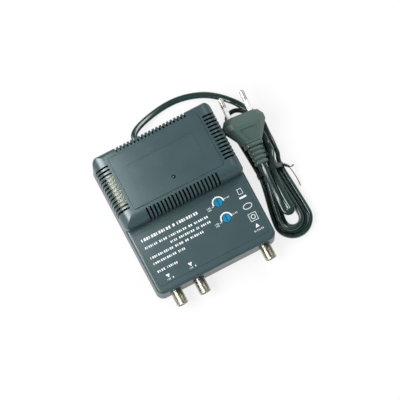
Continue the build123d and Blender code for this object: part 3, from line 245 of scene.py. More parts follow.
# The scales round the dials. A bar and short rows are placed from each dial's middle
DIALS = [(23.0, -8.3), (23.0, -22.3)]
SCALE_RADIUS = 4.5
SCALE_WIDTH = 1.1
SCALE_START = math.radians(-5)
SCALE_SWEEP = math.radians(195)
SCALE_STEPS = 28
END_MARK = (-6.6, -4.6, -1.5, -1.1)
DIAL_ROWS = [(-10.4, -0.9, 3.4), (-10.4, -2.6, 3.4), (5.8, 0.6, 4.4)]
# Plain outlines at the right: place along Y, half width, half height and segments
OUTLINE_X = 42.0
OUTLINE_WIDTH = 0.5
OUTLINES = [
    (-21.3, 3.9, 2.4, 28),
    (-30.8, 3.3, 3.3, 4),
    (-30.8, 1.9, 1.9, 20),
    (-8.2, 1.9, 2.3, 4),
]
PLAIN_BAR = (39.0, 45.0, -13.9, -12.5)


class Link:
    """A shader socket that Python operators can be used on."""

    def __init__(self, maker, socket):
        self.maker = maker
        self.socket = socket

    def math(self, operation, other=None):
        values = [self] if other is None else [self, other]
        return self.maker.node("ShaderNodeMath", {"operation": operation}, values)

    def __add__(self, other):
        return self.math("ADD", other)

    __radd__ = __add__

    def __mul__(self, other):
        return self.math("MULTIPLY", other)

    __rmul__ = __mul__

    def above(self, limit, softness):
        """0 below a limit and 1 above it, with a soft step."""
        settings = {"interpolation_type": "SMOOTHSTEP", "clamp": True}
        inputs = {"Value": self, "From Min": limit - softness, "From Max": limit + softness}
        return self.maker.node("ShaderNodeMapRange", settings, inputs)


class Maker:
    """Builds one material's nodes."""

    def __init__(self, name):
        self.material = bpy.data.materials.new(name)
        self.material.use_nodes = True
        self.tree = self.material.node_tree
        self.shader = self.tree.nodes["Principled BSDF"]
        self.output = self.tree.nodes["Material Output"]

    def node(self, kind, settings=None, inputs=None, output=0):
        """Adds a node: its settings first, then the values or links of its sockets."""
        made = self.tree.nodes.new(kind)
        for key, value in (settings or {}).items():
            setattr(made, key, value)
        pairs = inputs.items() if isinstance(inputs, dict) else enumerate(inputs or [])
        for key, value in pairs:
            self.join(made.inputs[key], value)
        return Link(self, made.outputs[output])

    def join(self, socket, value):
        if isinstance(value, Link):
            self.tree.links.new(value.socket, socket)
        else:
            socket.default_value = value

    def place(self):
        return self.node("ShaderNodeTexCoord", output="Object")

    def axis(self, index):
        """One coordinate of the surface, in metres."""
        return self.node("ShaderNodeSeparateXYZ", inputs=[self.place()], output=index)

    def noise(self, size, detail=2.0, rough=0.5):
        """Noise with features about a size across, from 0 to 1."""
        inputs = {"Vector": self.place(), "Scale": 1 / size, "Detail": detail, "Roughness": rough}
        return self.node("ShaderNodeTexNoise", inputs=inputs)

    def ridges(self, index, pitch):
        """A wave along an axis, from -1 to 1."""
        return (self.axis(index) * (FULL_TURN / pitch)).math("SINE")

    def blend(self, factor, first, second):
        """A colour between two, by a factor."""
        made = self.tree.nodes.new("ShaderNodeMix")
        made.data_type = "RGBA"
        self.join(made.inputs[0], factor)
        for socket, colour in ((made.inputs[6], first), (made.inputs[7], second)):
            self.join(socket, colour if isinstance(colour, Link) else (*colour, 1.0))
        return Link(self, made.outputs[2])

    def bump(self, height, depth):
        """Raises the surface by a height from 0 to 1 times a depth in metres."""
        inputs = {"Height": height * depth, "Distance": 1.0, "Strength": 1.0}
        self.join(self.shader.inputs["Normal"], self.node("ShaderNodeBump", inputs=inputs))

    def set(self, **values):
        """Gives the shader's sockets values or links, by their names in small letters."""
        for name, value in values.items():
            self.join(self.shader.inputs[name.replace("_", " ").title()], value)

    def fix(self, name, value):
        """Sets a socket that stays the same all over the surface."""
        self.shader.inputs[name].default_value = value


def shade(colour, factor):
    """A colour made darker or lighter by a factor."""
    return tuple(min(1.0, c * factor) for c in colour)


def moulded(name, colour, roughness=0.5, grain=0.35 * MM, depth=0.012 * MM):
    """Moulded plastic: fine grain, slow mottling of its colour and gloss, and paler specks."""
    made = Maker(name)
    slow = made.noise(14 * MM, detail=3.0)
    fine = made.noise(grain)
    speck = made.noise(1.1 * MM, detail=4.0, rough=0.7)
    toned = made.blend(slow, shade(colour, 0.93), shade(colour, 1.07))
    dusty = speck.above(0.66, softness=0.05) * 0.22
    made.set(base_color=made.blend(dusty, toned, shade(colour, 1.5)))
    made.set(roughness=slow * 0.12 + (fine * 0.1 + (roughness - 0.1)))
    made.bump(fine, depth)
    return made.material


def rubber(name, colour, roughness=0.3, coat=0.0):
    """Soft rubber or cord sheath, with faint scuffs."""
    made = Maker(name)
    scuff = made.noise(3 * MM, detail=5.0, rough=0.65)
    fine = made.noise(0.5 * MM)
    worn = scuff.above(0.6, softness=0.12) * 0.5
    made.set(base_color=made.blend(worn, colour, shade(colour, 1.7)))
    made.set(roughness=scuff * 0.1 + roughness)
    made.fix("Coat Weight", coat)
    made.fix("Coat Roughness", 0.2)
    made.bump(fine, depth=0.004 * MM)
    return made.material


def metal(name, colour, roughness=0.25, axis=1, pitch=0.16 * MM):
    """Plated or rolled metal: turning or rolling lines, and a little tarnish."""
    made = Maker(name)
    lines = made.ridges(axis, pitch)
    spots = made.noise(2.5 * MM, detail=5.0, rough=0.6)
    dull = spots.above(0.6, softness=0.12) * 0.35
    made.set(base_color=made.blend(dull, colour, TARNISH), metallic=1.0)
    made.set(roughness=spots * 0.2 + (roughness - 0.05))
    made.bump(lines * 0.5 + spots, depth=0.002 * MM)
    return made.material


def lined(name, dark, light, axis, pitch, roughness=0.4, metallic=0.0, depth=0.06 * MM):
    """A surface made of layers or turns: laminations, wire or wrapped tape."""
    made = Maker(name)
    wave = made.ridges(axis, pitch) * 0.5 + 0.5
    spots = made.noise(1.8 * MM, detail=4.0)
    made.set(base_color=made.blend(wave * 0.7 + spots * 0.3, dark, light), metallic=metallic)
    made.set(roughness=spots * 0.2 + roughness)
    made.bump(wave, depth)
    return made.material


def clear(name, colour):
    """Clear tinted plastic or glass with light flow marks."""
    made = Maker(name)
    flow = made.noise(1.5 * MM)
    made.set(base_color=made.blend(flow, colour, shade(colour, 1.25)))
    made.set(roughness=flow * 0.08 + 0.06)
    made.fix("Transmission Weight", 0.35)
    made.fix("IOR", 1.5)
    return made.material


def dress(material, *names):
    """Gives CAD nodes a material."""
    for name in names:
        slots = NODES[name].data.materials
        slots.clear()
        slots.append(material)


def capped_circle(bm, segments, radius, place):
    """Adds a flat disc and gives its face."""
    made = bmesh.ops.create_circle(
        bm, cap_ends=True, segments=segments, radius=radius, matrix=place
    )
    return [f for f in bm.faces if all(v in made["verts"] for v in f.verts)]


def mesh_piece(name, bm, material, slot, *nodes, smooth=True):
    """Makes an object of a bmesh that rides on the housing and stands for CAD nodes."""
    bmesh.ops.recalc_face_normals(bm, faces=bm.faces)
    mesh = bpy.data.meshes.new(name)
    bm.to_mesh(mesh)
    bm.free()
    if smooth:
        mesh.shade_smooth()
    mesh.materials.append(material)
    piece = bpy.data.objects.new(name, mesh)
    bpy.context.scene.collection.objects.link(piece)
    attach(piece, HOUSING)
    if nodes:
        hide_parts(*nodes)
    return piece


class StageSettings(bpy.types.PropertyGroup):
    """The studio and the camera."""

    azimuth: FloatProperty(
        name="Azimuth",
        description="The way the camera looks, from +Y towards +X",
        default=math.radians(27.6),
        subtype="ANGLE",
    )
    elevation: FloatProperty(
        name="Elevation",
        description="How steeply the camera looks down",
        default=math.radians(79.0),
        subtype="ANGLE",
    )
    distance: FloatProperty(
        name="Distance",
        description="From the camera to its target",
        default=5.0,
        unit="LENGTH",
    )
    lens: FloatProperty(
        name="Lens",
        description="Focal length in millimetres",
        default=573.9,
    )
    target: FloatVectorProperty(
        name="Target",
        description="The point the camera looks at",
        default=(0.0125, 0.0025, 0.012),
        subtype="XYZ",
    )
    key_power: FloatProperty(
        name="Key Light",
        description="Power of the main light",
        default=8.0,
        unit="POWER",
    )
    fill_power: FloatProperty(
        name="Fill Light",
        description="Power of the light from the other side",
        default=6.0,
        unit="POWER",
    )
    card_power: FloatProperty(
        name="Card",
        description="Power of the card that flat faces reflect",
        default=0.62,
        unit="POWER",
    )
    sky: FloatProperty(
        name="Sky",
        description="Strength of the light from all round",
        default=0.5,
    )
    reflected_sky: FloatProperty(
        name="Reflected Sky",
        description="Strength of the sky in reflections",
        default=0.12,
    )


class FinishSettings(bpy.types.PropertyGroup):
    """Colours of the outer parts."""

    housing: FloatVectorProperty(
        name="Housing",
        description="Colour of the shells",
        default=(0.039, 0.075, 0.083),
        subtype="COLOR",
    )
    plug: FloatVectorProperty(
        name="Plug",
        description="Colour of the plug",
        default=(0.066, 0.11, 0.097),
        subtype="COLOR",
    )
    cord: FloatVectorProperty(
        name="Cord",
        description="Colour of the mains cord",
        default=(0.006, 0.032, 0.027),
        subtype="COLOR",
    )
    dial: FloatVectorProperty(
        name="Dials",
        description="Colour of the trimmer dials",
        default=(0.001, 0.205, 0.405),
        subtype="COLOR",
    )
    mark: FloatVectorProperty(
        name="Marks",
        description="Colour of the printed marks",
        default=(0.8, 0.86, 0.86),
        subtype="COLOR",
    )


class CordSettings(bpy.types.PropertyGroup):
    """The mains cord."""

    width: FloatProperty(
        name="Width",
        description="Width of the flat cord",
        default=5.2 * MM,
        unit="LENGTH",
    )
    thickness: FloatProperty(
        name="Thickness",
        description="Thickness of the flat cord",
        default=3.65 * MM,
        unit="LENGTH",
    )
    length: FloatProperty(
        name="Length",
        description="Length of the cord from gland to plug",
        default=1.12,
        unit="LENGTH",
    )
    resolution: IntProperty(
        name="Resolution",
        description="Steps between two points of the route",
        default=6,
    )


class SocketSettings(bpy.types.PropertyGroup):
    """The threads of the aerial sockets."""

    crest: FloatProperty(
        name="Crest",
        description="Outer radius of the thread",
        default=4.76 * MM,
        unit="LENGTH",
    )
    root: FloatProperty(
        name="Root",
        description="Radius at the bottom of the thread",
        default=4.36 * MM,
        unit="LENGTH",
    )
    pitch: FloatProperty(
        name="Pitch",
        description="Distance between two turns of the thread",
        default=0.794 * MM,
        unit="LENGTH",
    )
    steps: IntProperty(
        name="Steps",
        description="Steps round the barrel",
        default=40,
    )


class AMPLIFIER_OT_stage(bpy.types.Operator):
    """Makes the floor, the lights and the camera at the photograph's angle"""

    bl_idname = "amplifier.stage"
    bl_label = "Studio"

    def execute(self, context):
        settings = context.scene.amplifier_stage
        context.scene.view_settings.view_transform = "Standard"
        self.camera(context, settings)
        self.floor(context)
        self.world(context, settings)
        self.lamp(context, "key_light", KEY_PLACE, KEY_SIZE, settings.key_power)
        self.lamp(context, "fill_light", FILL_PLACE, FILL_SIZE, settings.fill_power)
        self.card(context, settings)
        return {"FINISHED"}

    def camera(self, context, settings):
        """A level camera that looks at its target from the photograph's side."""
        azimuth, elevation = settings.azimuth, settings.elevation
        level, down = math.cos(elevation), math.sin(elevation)
        ahead = Vector((math.sin(azimuth) * level, math.cos(azimuth) * level, -down))
        right = Vector((math.cos(azimuth), -math.sin(azimuth), 0.0))
        up = right.cross(ahead)
        camera = bpy.data.objects.new("camera", bpy.data.cameras.new("camera"))
        turned = Matrix((right, up, -ahead)).transposed().to_4x4()
        place = Vector(settings.target) - ahead * settings.distance
        camera.matrix_world = Matrix.Translation(place) @ turned
        camera.data.lens = settings.lens
        camera.data.clip_end = FAR_CLIP_DISTANCES * settings.distance
        context.scene.collection.objects.link(camera)
        context.scene.camera = camera

    def floor(self, context):
        """A pale floor that keeps its shadows, nearly white from above and clear from below."""
        bm = bmesh.new()
        drop = Matrix.Translation((0.0, 0.0, -FLOOR_DROP))
        bmesh.ops.create_grid(bm, x_segments=1, y_segments=1, size=FLOOR_SIZE, matrix=drop)
        mesh = bpy.data.meshes.new("floor")
        bm.to_mesh(mesh)
        bm.free()
        made = Maker("floor_white")
        made.set(base_color=FLOOR_COLOUR, roughness=FLOOR_ROUGHNESS)
        path = made.tree.nodes.new("ShaderNodeLightPath")
        seen = Link(made, path.outputs["Is Camera Ray"])
        glossy = Link(made, path.outputs["Is Glossy Ray"])
        through = Link(made, path.outputs["Is Transmission Ray"])
        glow = made.node("ShaderNodeEmission", inputs={"Color": WHITE, "Strength": 1.0})
        factor = seen.math("MAXIMUM", glossy).math("MAXIMUM", through) * FLOOR_GLOW
        matt = Link(made, made.shader.outputs[0])
        mixed = made.node("ShaderNodeMixShader", inputs=[factor, matt, glow])
        under = made.node("ShaderNodeNewGeometry", output="Backfacing")
        gone = made.node("ShaderNodeBsdfTransparent")
        surface = made.node("ShaderNodeMixShader", inputs=[under, mixed, gone])
        made.join(made.output.inputs["Surface"], surface)
        mesh.materials.append(made.material)
        floor = bpy.data.objects.new("floor", mesh)
        context.scene.collection.objects.link(floor)

    def world(self, context, settings):
        """Light from all round: white to the camera, and weaker in reflections."""
        world = bpy.data.worlds.new("studio")
        world.use_nodes = True
        tree = world.node_tree
        sky = tree.nodes["Background"]
        path = tree.nodes.new("ShaderNodeLightPath")
        glossy = tree.nodes.new("ShaderNodeMapRange")
        glossy.inputs["To Min"].default_value = settings.sky
        glossy.inputs["To Max"].default_value = settings.reflected_sky
        tree.links.new(path.outputs["Is Glossy Ray"], glossy.inputs["Value"])
        seen = tree.nodes.new("ShaderNodeMapRange")
        seen.inputs["To Max"].default_value = 1.0
        tree.links.new(path.outputs["Is Camera Ray"], seen.inputs["Value"])
        tree.links.new(glossy.outputs[0], seen.inputs["To Min"])
        tree.links.new(seen.outputs[0], sky.inputs["Strength"])
        sky.inputs["Color"].default_value = WHITE
        context.scene.world = world

    def lamp(self, context, name, place, size, power):
        """A soft square lamp that faces the object."""
        light = bpy.data.lights.new(name, "AREA")
        light.size = size
        light.energy = power
        lamp = bpy.data.objects.new(name, light)
        lamp.location = place
        lamp.rotation_euler = Vector(place).to_track_quat("Z", "Y").to_euler()
        context.scene.collection.objects.link(lamp)

    def card(self, context, settings):
        """A bright card over the left side, which only shows as a reflection."""
        light = bpy.data.lights.new("card", "AREA")
        light.shape = "RECTANGLE"
        light.size, light.size_y = CARD_SIZE
        light.energy = settings.card_power
        card = bpy.data.objects.new("card", light)
        card.location = CARD_PLACE
        card.visible_diffuse = False
        context.scene.collection.objects.link(card)


class AMPLIFIER_OT_cord(bpy.types.Operator):
    """Lays the mains cord from the gland through its tied hank to the plug"""

    bl_idname = "amplifier.cord"
    bl_label = "Mains Cord"

    def execute(self, context):
        settings = context.scene.amplifier_cord
        finish = context.scene.amplifier_finish
        curve = bpy.data.curves.new("mains_cord", "CURVE")
        curve.dimensions = "3D"
        curve.twist_mode = "Z_UP"
        curve.bevel_mode = "OBJECT"
        curve.bevel_object = self.section(context, settings)
        curve.use_fill_caps = True
        curve.resolution_u = settings.resolution
        spline = curve.splines.new("NURBS")
        points = self.points()
        spline.points.add(len(points) - 1)
        for point, (place, tilt) in zip(spline.points, points):
            point.co = (*(c * MM for c in place), 1.0)
            point.tilt = tilt
        spline.order_u = 3
        spline.use_endpoint_u = True
        spline.use_smooth = True
        sheath = rubber("cord_sheath", tuple(finish.cord), roughness=0.26, coat=0.8)
        curve.materials.append(sheath)
        cord = bpy.data.objects.new("mains_cord", curve)
        context.scene.collection.objects.link(cord)
        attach(cord, HOUSING)
        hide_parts("cord_lead", "cord_hank", "cord_tail")
        return {"FINISHED"}

    def section(self, context, settings):
        """The flat twin section: two half rounds and straight sides."""
        outline = bpy.data.curves.new("cord_section", "CURVE")
        outline.dimensions = "2D"
        spline = outline.splines.new("POLY")
        radius = settings.thickness / 2
        shift = settings.width / 2 - radius
        corners = []
        for side, start in ((1, -QUARTER_TURN), (-1, QUARTER_TURN)):
            for i in range(SECTION_STEPS + 1):
                angle = start + math.pi * i / SECTION_STEPS
                corners.append((side * shift + radius * math.cos(angle), radius * math.sin(angle)))
        spline.points.add(len(corners) - 1)
        for point, corner in zip(spline.points, corners):
            point.co = (*corner, 0.0, 1.0)
        spline.use_cyclic_u = True
        section = bpy.data.objects.new("cord_section", outline)
        context.scene.collection.objects.link(section)
        section.hide_render = True
        section.hide_viewport = True
        return section

    def points(self):
        """Every point of the cord with its tilt: flat where it is free, on edge in the hank."""
        lead = [(place, 0.0) for place in LEAD_ROUTE]
        hank = [(place, QUARTER_TURN) for place in self.hank()]
        tail = [(place, 0.0) for place in TAIL_ROUTE[: FOLD_POINT + 1]]
        leaning = [(place, TAIL_TILT) for place in TAIL_ROUTE[FOLD_POINT + 1 :]]
        return lead + hank + tail + leaning

    def left_top(self, lane, top_y):
        """Where a lane's leaning left side is at its top."""
        lean = (LEFT_TOP_X - LEFT_WAIST_X) / (FIRST_TOP_Y - WAIST_Y - 2 * LANE_EASE)
        return LEFT_WAIST_X + lane * LANE_STEP + lean * (top_y - WAIST_Y - 2 * LANE_EASE)

    def run(self, low_x, waist_x, top_x, top_y, low_z, top_z):
        """One side of a lane, from its low end through the tie up to its top."""
        return [
            (low_x, LOW_Y + LANE_EASE, low_z),
            (waist_x, WAIST_Y - LANE_EASE, low_z),
            (waist_x, WAIST_Y + LANE_EASE, low_z),
            (top_x, top_y - LANE_EASE, top_z),
        ]

    def left(self, lane, top_y, low_z, top_z):
        """The left side of a lane, upwards."""
        return self.run(
            LEFT_LOW_X + lane * LANE_STEP,
            LEFT_WAIST_X + lane * LANE_STEP,
            self.left_top(lane, top_y),
            top_y,
            low_z,
            top_z,
        )

    def right(self, lane, top_x, top_y, height):
        """The right side of a lane, downwards."""
        low_x = RIGHT_LOW_X - lane * LANE_STEP
        waist_x = RIGHT_WAIST_X - lane * LANE_STEP
        return self.run(low_x, waist_x, top_x, top_y, height, height)[::-1]

    def turn(self, start, end, height, way):
        """Half a turn between two lanes: the corners that a smooth line goes round."""
        side = 1 if end[0] > start[0] else -1
        rise = (end[1] - start[1]) * way
        first = (abs(end[0] - start[0]) + rise) / 2
        second = first - rise
        apex_x, apex_y = start[0] + side * first, start[1] + way * first
        return [
            (start[0], start[1] + way * first * TURN_CORNER, height),
            (apex_x - side * first * TURN_CORNER, apex_y, height),
            (apex_x + side * second * TURN_CORNER, apex_y, height),
            (end[0], end[1] + way * second * TURN_CORNER, height),
        ]

    def hank(self):
        """The hank: it spirals in on the lower layer, climbs, and spirals out on the upper one."""
        inner = LANE_COUNT - 1
        lefts = [LEFT_LOW_X + lane * LANE_STEP for lane in range(LANE_COUNT)]
        lows = [RIGHT_LOW_X - lane * LANE_STEP for lane in range(LANE_COUNT)]
        tops = [RIGHT_TOP_X - lane * LANE_STEP for lane in range(LANE_COUNT)]
        points = [(START_X, TOP_YS[0][0], FIRST_LAYER)]
        for lane in range(LANE_COUNT):
            right_y, left_y = TOP_YS[lane]
            top_x = START_X if lane == 0 else tops[lane]
            points += self.right(lane, top_x, right_y, FIRST_LAYER)
            points += self.turn((lows[lane], LOW_Y), (lefts[lane], LOW_Y), FIRST_LAYER, -1)
            if lane == inner:
                top_z, following = SECOND_LAYER, (tops[lane], UPPER_TOP_Y)
            else:
                top_z, following = FIRST_LAYER, (tops[lane + 1], TOP_YS[lane + 1][0])
            points += self.left(lane, left_y, FIRST_LAYER, top_z)
            points += self.turn((self.left_top(lane, left_y), left_y), following, top_z, 1)
        outer = inner - 1
        points += self.right(inner, tops[inner], UPPER_TOP_Y, SECOND_LAYER)
        points += self.turn((lows[inner], LOW_Y), (lefts[outer], LOW_Y), SECOND_LAYER, -1)
        points += self.left(outer, UPPER_TOP_Y, SECOND_LAYER, SECOND_LAYER)
        last_x = tops[outer] + LAST_LANE_SHIFT
        outer_top = (self.left_top(outer, UPPER_TOP_Y), UPPER_TOP_Y)
        points += self.turn(outer_top, (last_x, UPPER_TOP_Y), SECOND_LAYER, 1)
        points.append((last_x, HANK_END_Y, SECOND_LAYER))
        return points


class AMPLIFIER_OT_plug(bpy.types.Operator):
    """Shapes the moulded plug and its ribbed strain relief, and finishes its pins"""

    bl_idname = "amplifier.plug"
    bl_label = "Plug"

    def execute(self, context):
        colour = tuple(context.scene.amplifier_finish.plug)
        plastic = moulded("plug_grey", colour, roughness=0.34, grain=0.5 * MM, depth=0.01 * MM)
        bm = self.rings(PLUG_STATIONS, PLUG_QUARTER_SHARES)
        bmesh.ops.bevel(
            bm,
            geom=list(bm.edges),
            offset=PLUG_EDGE,
            segments=PLUG_EDGE_STEPS,
            profile=0.5,
            affect="EDGES",
            material=-1,
        )
        self.field(bm)
        self.face(bm)
        self.settle(bm)
        moulding = mesh_piece("plug_moulding", bm, plastic, "plug_grey", "plug_body")
        moulding.data.set_sharp_from_angle(angle=SHARP_ANGLE)
        flat = moulding.modifiers.new("flat_faces", "WEIGHTED_NORMAL")
        flat.keep_sharp = True
        bm = self.rings(self.relief_stations(), RELIEF_QUARTER_SHARES)
        self.settle(bm)
        relief = mesh_piece("strain_relief_ribs", bm, plastic, "plug_grey", "plug_strain_relief")
        self.soften(relief)
        pin = metal("pin_metal", (0.66, 0.64, 0.6), roughness=0.3, pitch=0.3 * MM)
        sleeve = moulded("sleeve_plastic", (0.9, 0.91, 0.9), roughness=0.4)
        black = (0.022, 0.03, 0.03)
        tie = moulded("tie_plastic", black, roughness=0.3, grain=0.8 * MM, depth=0.02 * MM)
        dress(pin, "plug_pins")
        dress(sleeve, "pin_sleeves")
        dress(tie, "twist_tie")
        return {"FINISHED"}

    def relief_stations(self):
        """The relief's rings: ribs that grow towards the plug, their grooves, and the collar."""
        stations = [(0.0, RELIEF_START[0] - RIB_ROUND, RELIEF_START[1] - RIB_ROUND)]
        ribbed = RELIEF_LENGTH - RELIEF_COLLAR
        pitch = ribbed / RIB_COUNT
        for i in range(RIB_COUNT):
            start, end = i * pitch, (i + 1) * pitch - RIB_GROOVE
            share = (i + 0.5) / RIB_COUNT
            wide, tall = (a + (b - a) * share for a, b in zip(RELIEF_START, RELIEF_END))
            low_wide, low_tall = wide - GROOVE_DEPTH, tall - GROOVE_DEPTH
            stations += [
                (start + RIB_ROUND, wide, tall),
                (end - RIB_ROUND, wide, tall),
                (end, wide - RIB_ROUND, tall - RIB_ROUND),
                (end + RIB_ROUND / 2, low_wide, low_tall),
                (end + RIB_GROOVE - RIB_ROUND / 2, low_wide, low_tall),
            ]
        wide, tall = RELIEF_COLLAR_SIZE
        stations += [
            (ribbed, wide - RIB_ROUND, tall - RIB_ROUND),
            (ribbed + RIB_ROUND, wide, tall),
            (RELIEF_LENGTH - RIB_ROUND, wide, tall),
            (RELIEF_LENGTH, wide - RIB_ROUND, tall - RIB_ROUND),
        ]
        return stations

    def rings(self, stations, shares):
        """A closed skin through rings of one form, pulled on from one ring to the next along +Y."""
        half = shares + [(-x, z) for x, z in reversed(shares)]
        outline = half + [(-x, -z) for x, z in half]
        bm = bmesh.new()
        made = bmesh.ops.create_circle(bm, cap_ends=False, segments=len(outline), radius=1.0)
        ring = sorted(made["verts"], key=lambda v: math.atan2(v.co.y, v.co.x) % FULL_TURN)
        edges = list(bm.edges)
        distance, wide, tall = stations[0]
        for vert, (x, z) in zip(ring, outline):
            vert.co = (x * wide, distance, z * tall)
        bmesh.ops.contextual_create(bm, geom=list(bm.edges))
        for station in stations[1:]:
            grown = bmesh.ops.extrude_edge_only(bm, edges=edges)["geom"]
            verts = [g for g in grown if isinstance(g, bmesh.types.BMVert)]
            edges = [g for g in grown if isinstance(g, bmesh.types.BMEdge)]
            scale = Vector((station[1] / wide, 1.0, station[2] / tall))
            bmesh.ops.scale(bm, vec=scale, verts=verts)
            bmesh.ops.translate(bm, vec=(0.0, station[0] - distance, 0.0), verts=verts)
            distance, wide, tall = station
        bmesh.ops.contextual_create(bm, geom=edges)
        bmesh.ops.recalc_face_normals(bm, faces=bm.faces)
        return bm

    def field(self, bm):
        """The shallow field on the largest face on top of the plug."""
        bm.normal_update()
        top = max(bm.faces, key=lambda f: f.calc_area() if f.normal.z > UPWARD else 0.0)
        for inset, depth in ((FIELD_MARGIN, 0.0), (FIELD_WALL, -FIELD_DEPTH)):
            bmesh.ops.inset_region(
                bm, faces=[top], thickness=inset, depth=depth, use_even_offset=True
            )

    def face(self, bm):
        """Two raised collars on the plug's face, where its pins come out."""
        for side in (-1, 1):
            shift = Matrix.Translation((side * PIN_SHIFT, PLUG_STATIONS[-1][0], 0.0))
            place = shift @ Matrix.Rotation(-QUARTER_TURN, 4, "X")
            disc = capped_circle(bm, COLLAR_STEPS, COLLAR_RADIUS, place)
            bmesh.ops.inset_region(
                bm, faces=disc, thickness=COLLAR_SLOPE, depth=COLLAR_HEIGHT, use_boundary=True
            )

    def settle(self, bm):
        """Turns a shape from plug lengths into its place."""
        level = PLUG_ALONG.cross(Vector((0.0, 0.0, 1.0)))
        across = Matrix.Rotation(PLUG_ROLL, 3, PLUG_ALONG) @ level
        turned = Matrix((across, PLUG_ALONG, across.cross(PLUG_ALONG))).transposed().to_4x4()
        place = Matrix.Scale(MM, 4) @ Matrix.Translation(PLUG_START) @ turned
        bmesh.ops.transform(bm, matrix=place, verts=bm.verts)

    def soften(self, piece):
        """Rounds the ribs between their rings."""
        modifier = piece.modifiers.new("soften", "SUBSURF")
        modifier.levels = RELIEF_SUBDIVISIONS
        modifier.render_levels = RELIEF_SUBDIVISIONS


class AMPLIFIER_OT_sockets(bpy.types.Operator):
    """Turns the threaded barrels of the aerial sockets and finishes what is in them"""

    bl_idname = "amplifier.sockets"
    bl_label = "Aerial Sockets"

    def execute(self, context):
        settings = context.scene.amplifier_socket
        nickel = metal("socket_nickel", (0.52, 0.505, 0.44), roughness=0.24, pitch=0.2 * MM)
        for name, x in SOCKETS.items():
            bm = bmesh.new()
            self.barrel(bm, x * MM, settings)
            self.thread(bm, x * MM, settings)
            mesh_piece(f"threaded_{name}", bm, nickel, "socket_nickel", name, smooth=False)
        dress(moulded("insulator_plastic", (0.8, 0.78, 0.7), roughness=0.4), "socket_insulators")
        dress(metal("contact_brass", (0.86, 0.68, 0.36)), "socket_contacts")
        return {"FINISHED"}

    def turned(self, bm, profile, x, steps, rise=0.0):
        """Spins a profile of radii and places along Y about a socket's axis."""
        verts = [bm.verts.new((x + r, y, SOCKET_Z * MM)) for r, y in profile]
        edges = [bm.edges.new(pair) for pair in zip(verts, verts[1:])]
        bmesh.ops.spin(
            bm,
            geom=verts + edges,
            cent=(x, 0.0, SOCKET_Z * MM),
            axis=(0.0, 1.0, 0.0),
            dvec=(0.0, rise / steps, 0.0),
            angle=FULL_TURN,
            steps=steps,
            use_merge=rise == 0.0,
        )

    def barrel(self, bm, x, settings):
        """A tube with a flange, from its far end through the bore to the tip and back outside."""
        bore, bevel, neck = SOCKET_BORE * MM, SOCKET_BEVEL * MM, SOCKET_NECK * MM
        flange, shank = SOCKET_FLANGE * MM, SOCKET_SHANK * MM
        tip, neck_start, end = SOCKET_TIP_Y * MM, SOCKET_NECK_Y * MM, SOCKET_END_Y * MM
        flange_start, flange_end = (y * MM for y in SOCKET_FLANGE_YS)
        core = settings.root + CORE_RISE * MM
        profile = [
            (bore, end),
            (bore, tip + bevel / 2),
            (bore + bevel / 2, tip),
            (core - bevel / 4, tip),
            (core, tip + bevel / 4),
            (core, neck_start),
            (neck, neck_start),
            (neck, flange_start),
            (flange, flange_start),
            (flange, flange_end),
            (shank, flange_end),
            (shank, end),
            (bore, end),
        ]
        self.turned(bm, profile, x, settings.steps)

    def thread(self, bm, x, settings):
        """A real thread: a toothed profile that moves on one pitch in a full turn."""
        pitch, crest, root = settings.pitch, settings.crest, settings.root
        start = SOCKET_TIP_Y * MM + THREAD_START * MM
        count = int((SOCKET_NECK_Y * MM - pitch - start) / pitch)
        slope = pitch * (1 - CREST_SHARE - ROOT_SHARE) / 2
        profile = []
        for i in range(count):
            y = start + i * pitch
            profile += [
                (root, y),
                (crest, y + slope),
                (crest, y + slope + pitch * CREST_SHARE),
                (root, y + pitch * (1 - ROOT_SHARE)),
            ]
        profile.append((root, start + count * pitch))
        self.turned(bm, profile, x, settings.steps, rise=pitch)


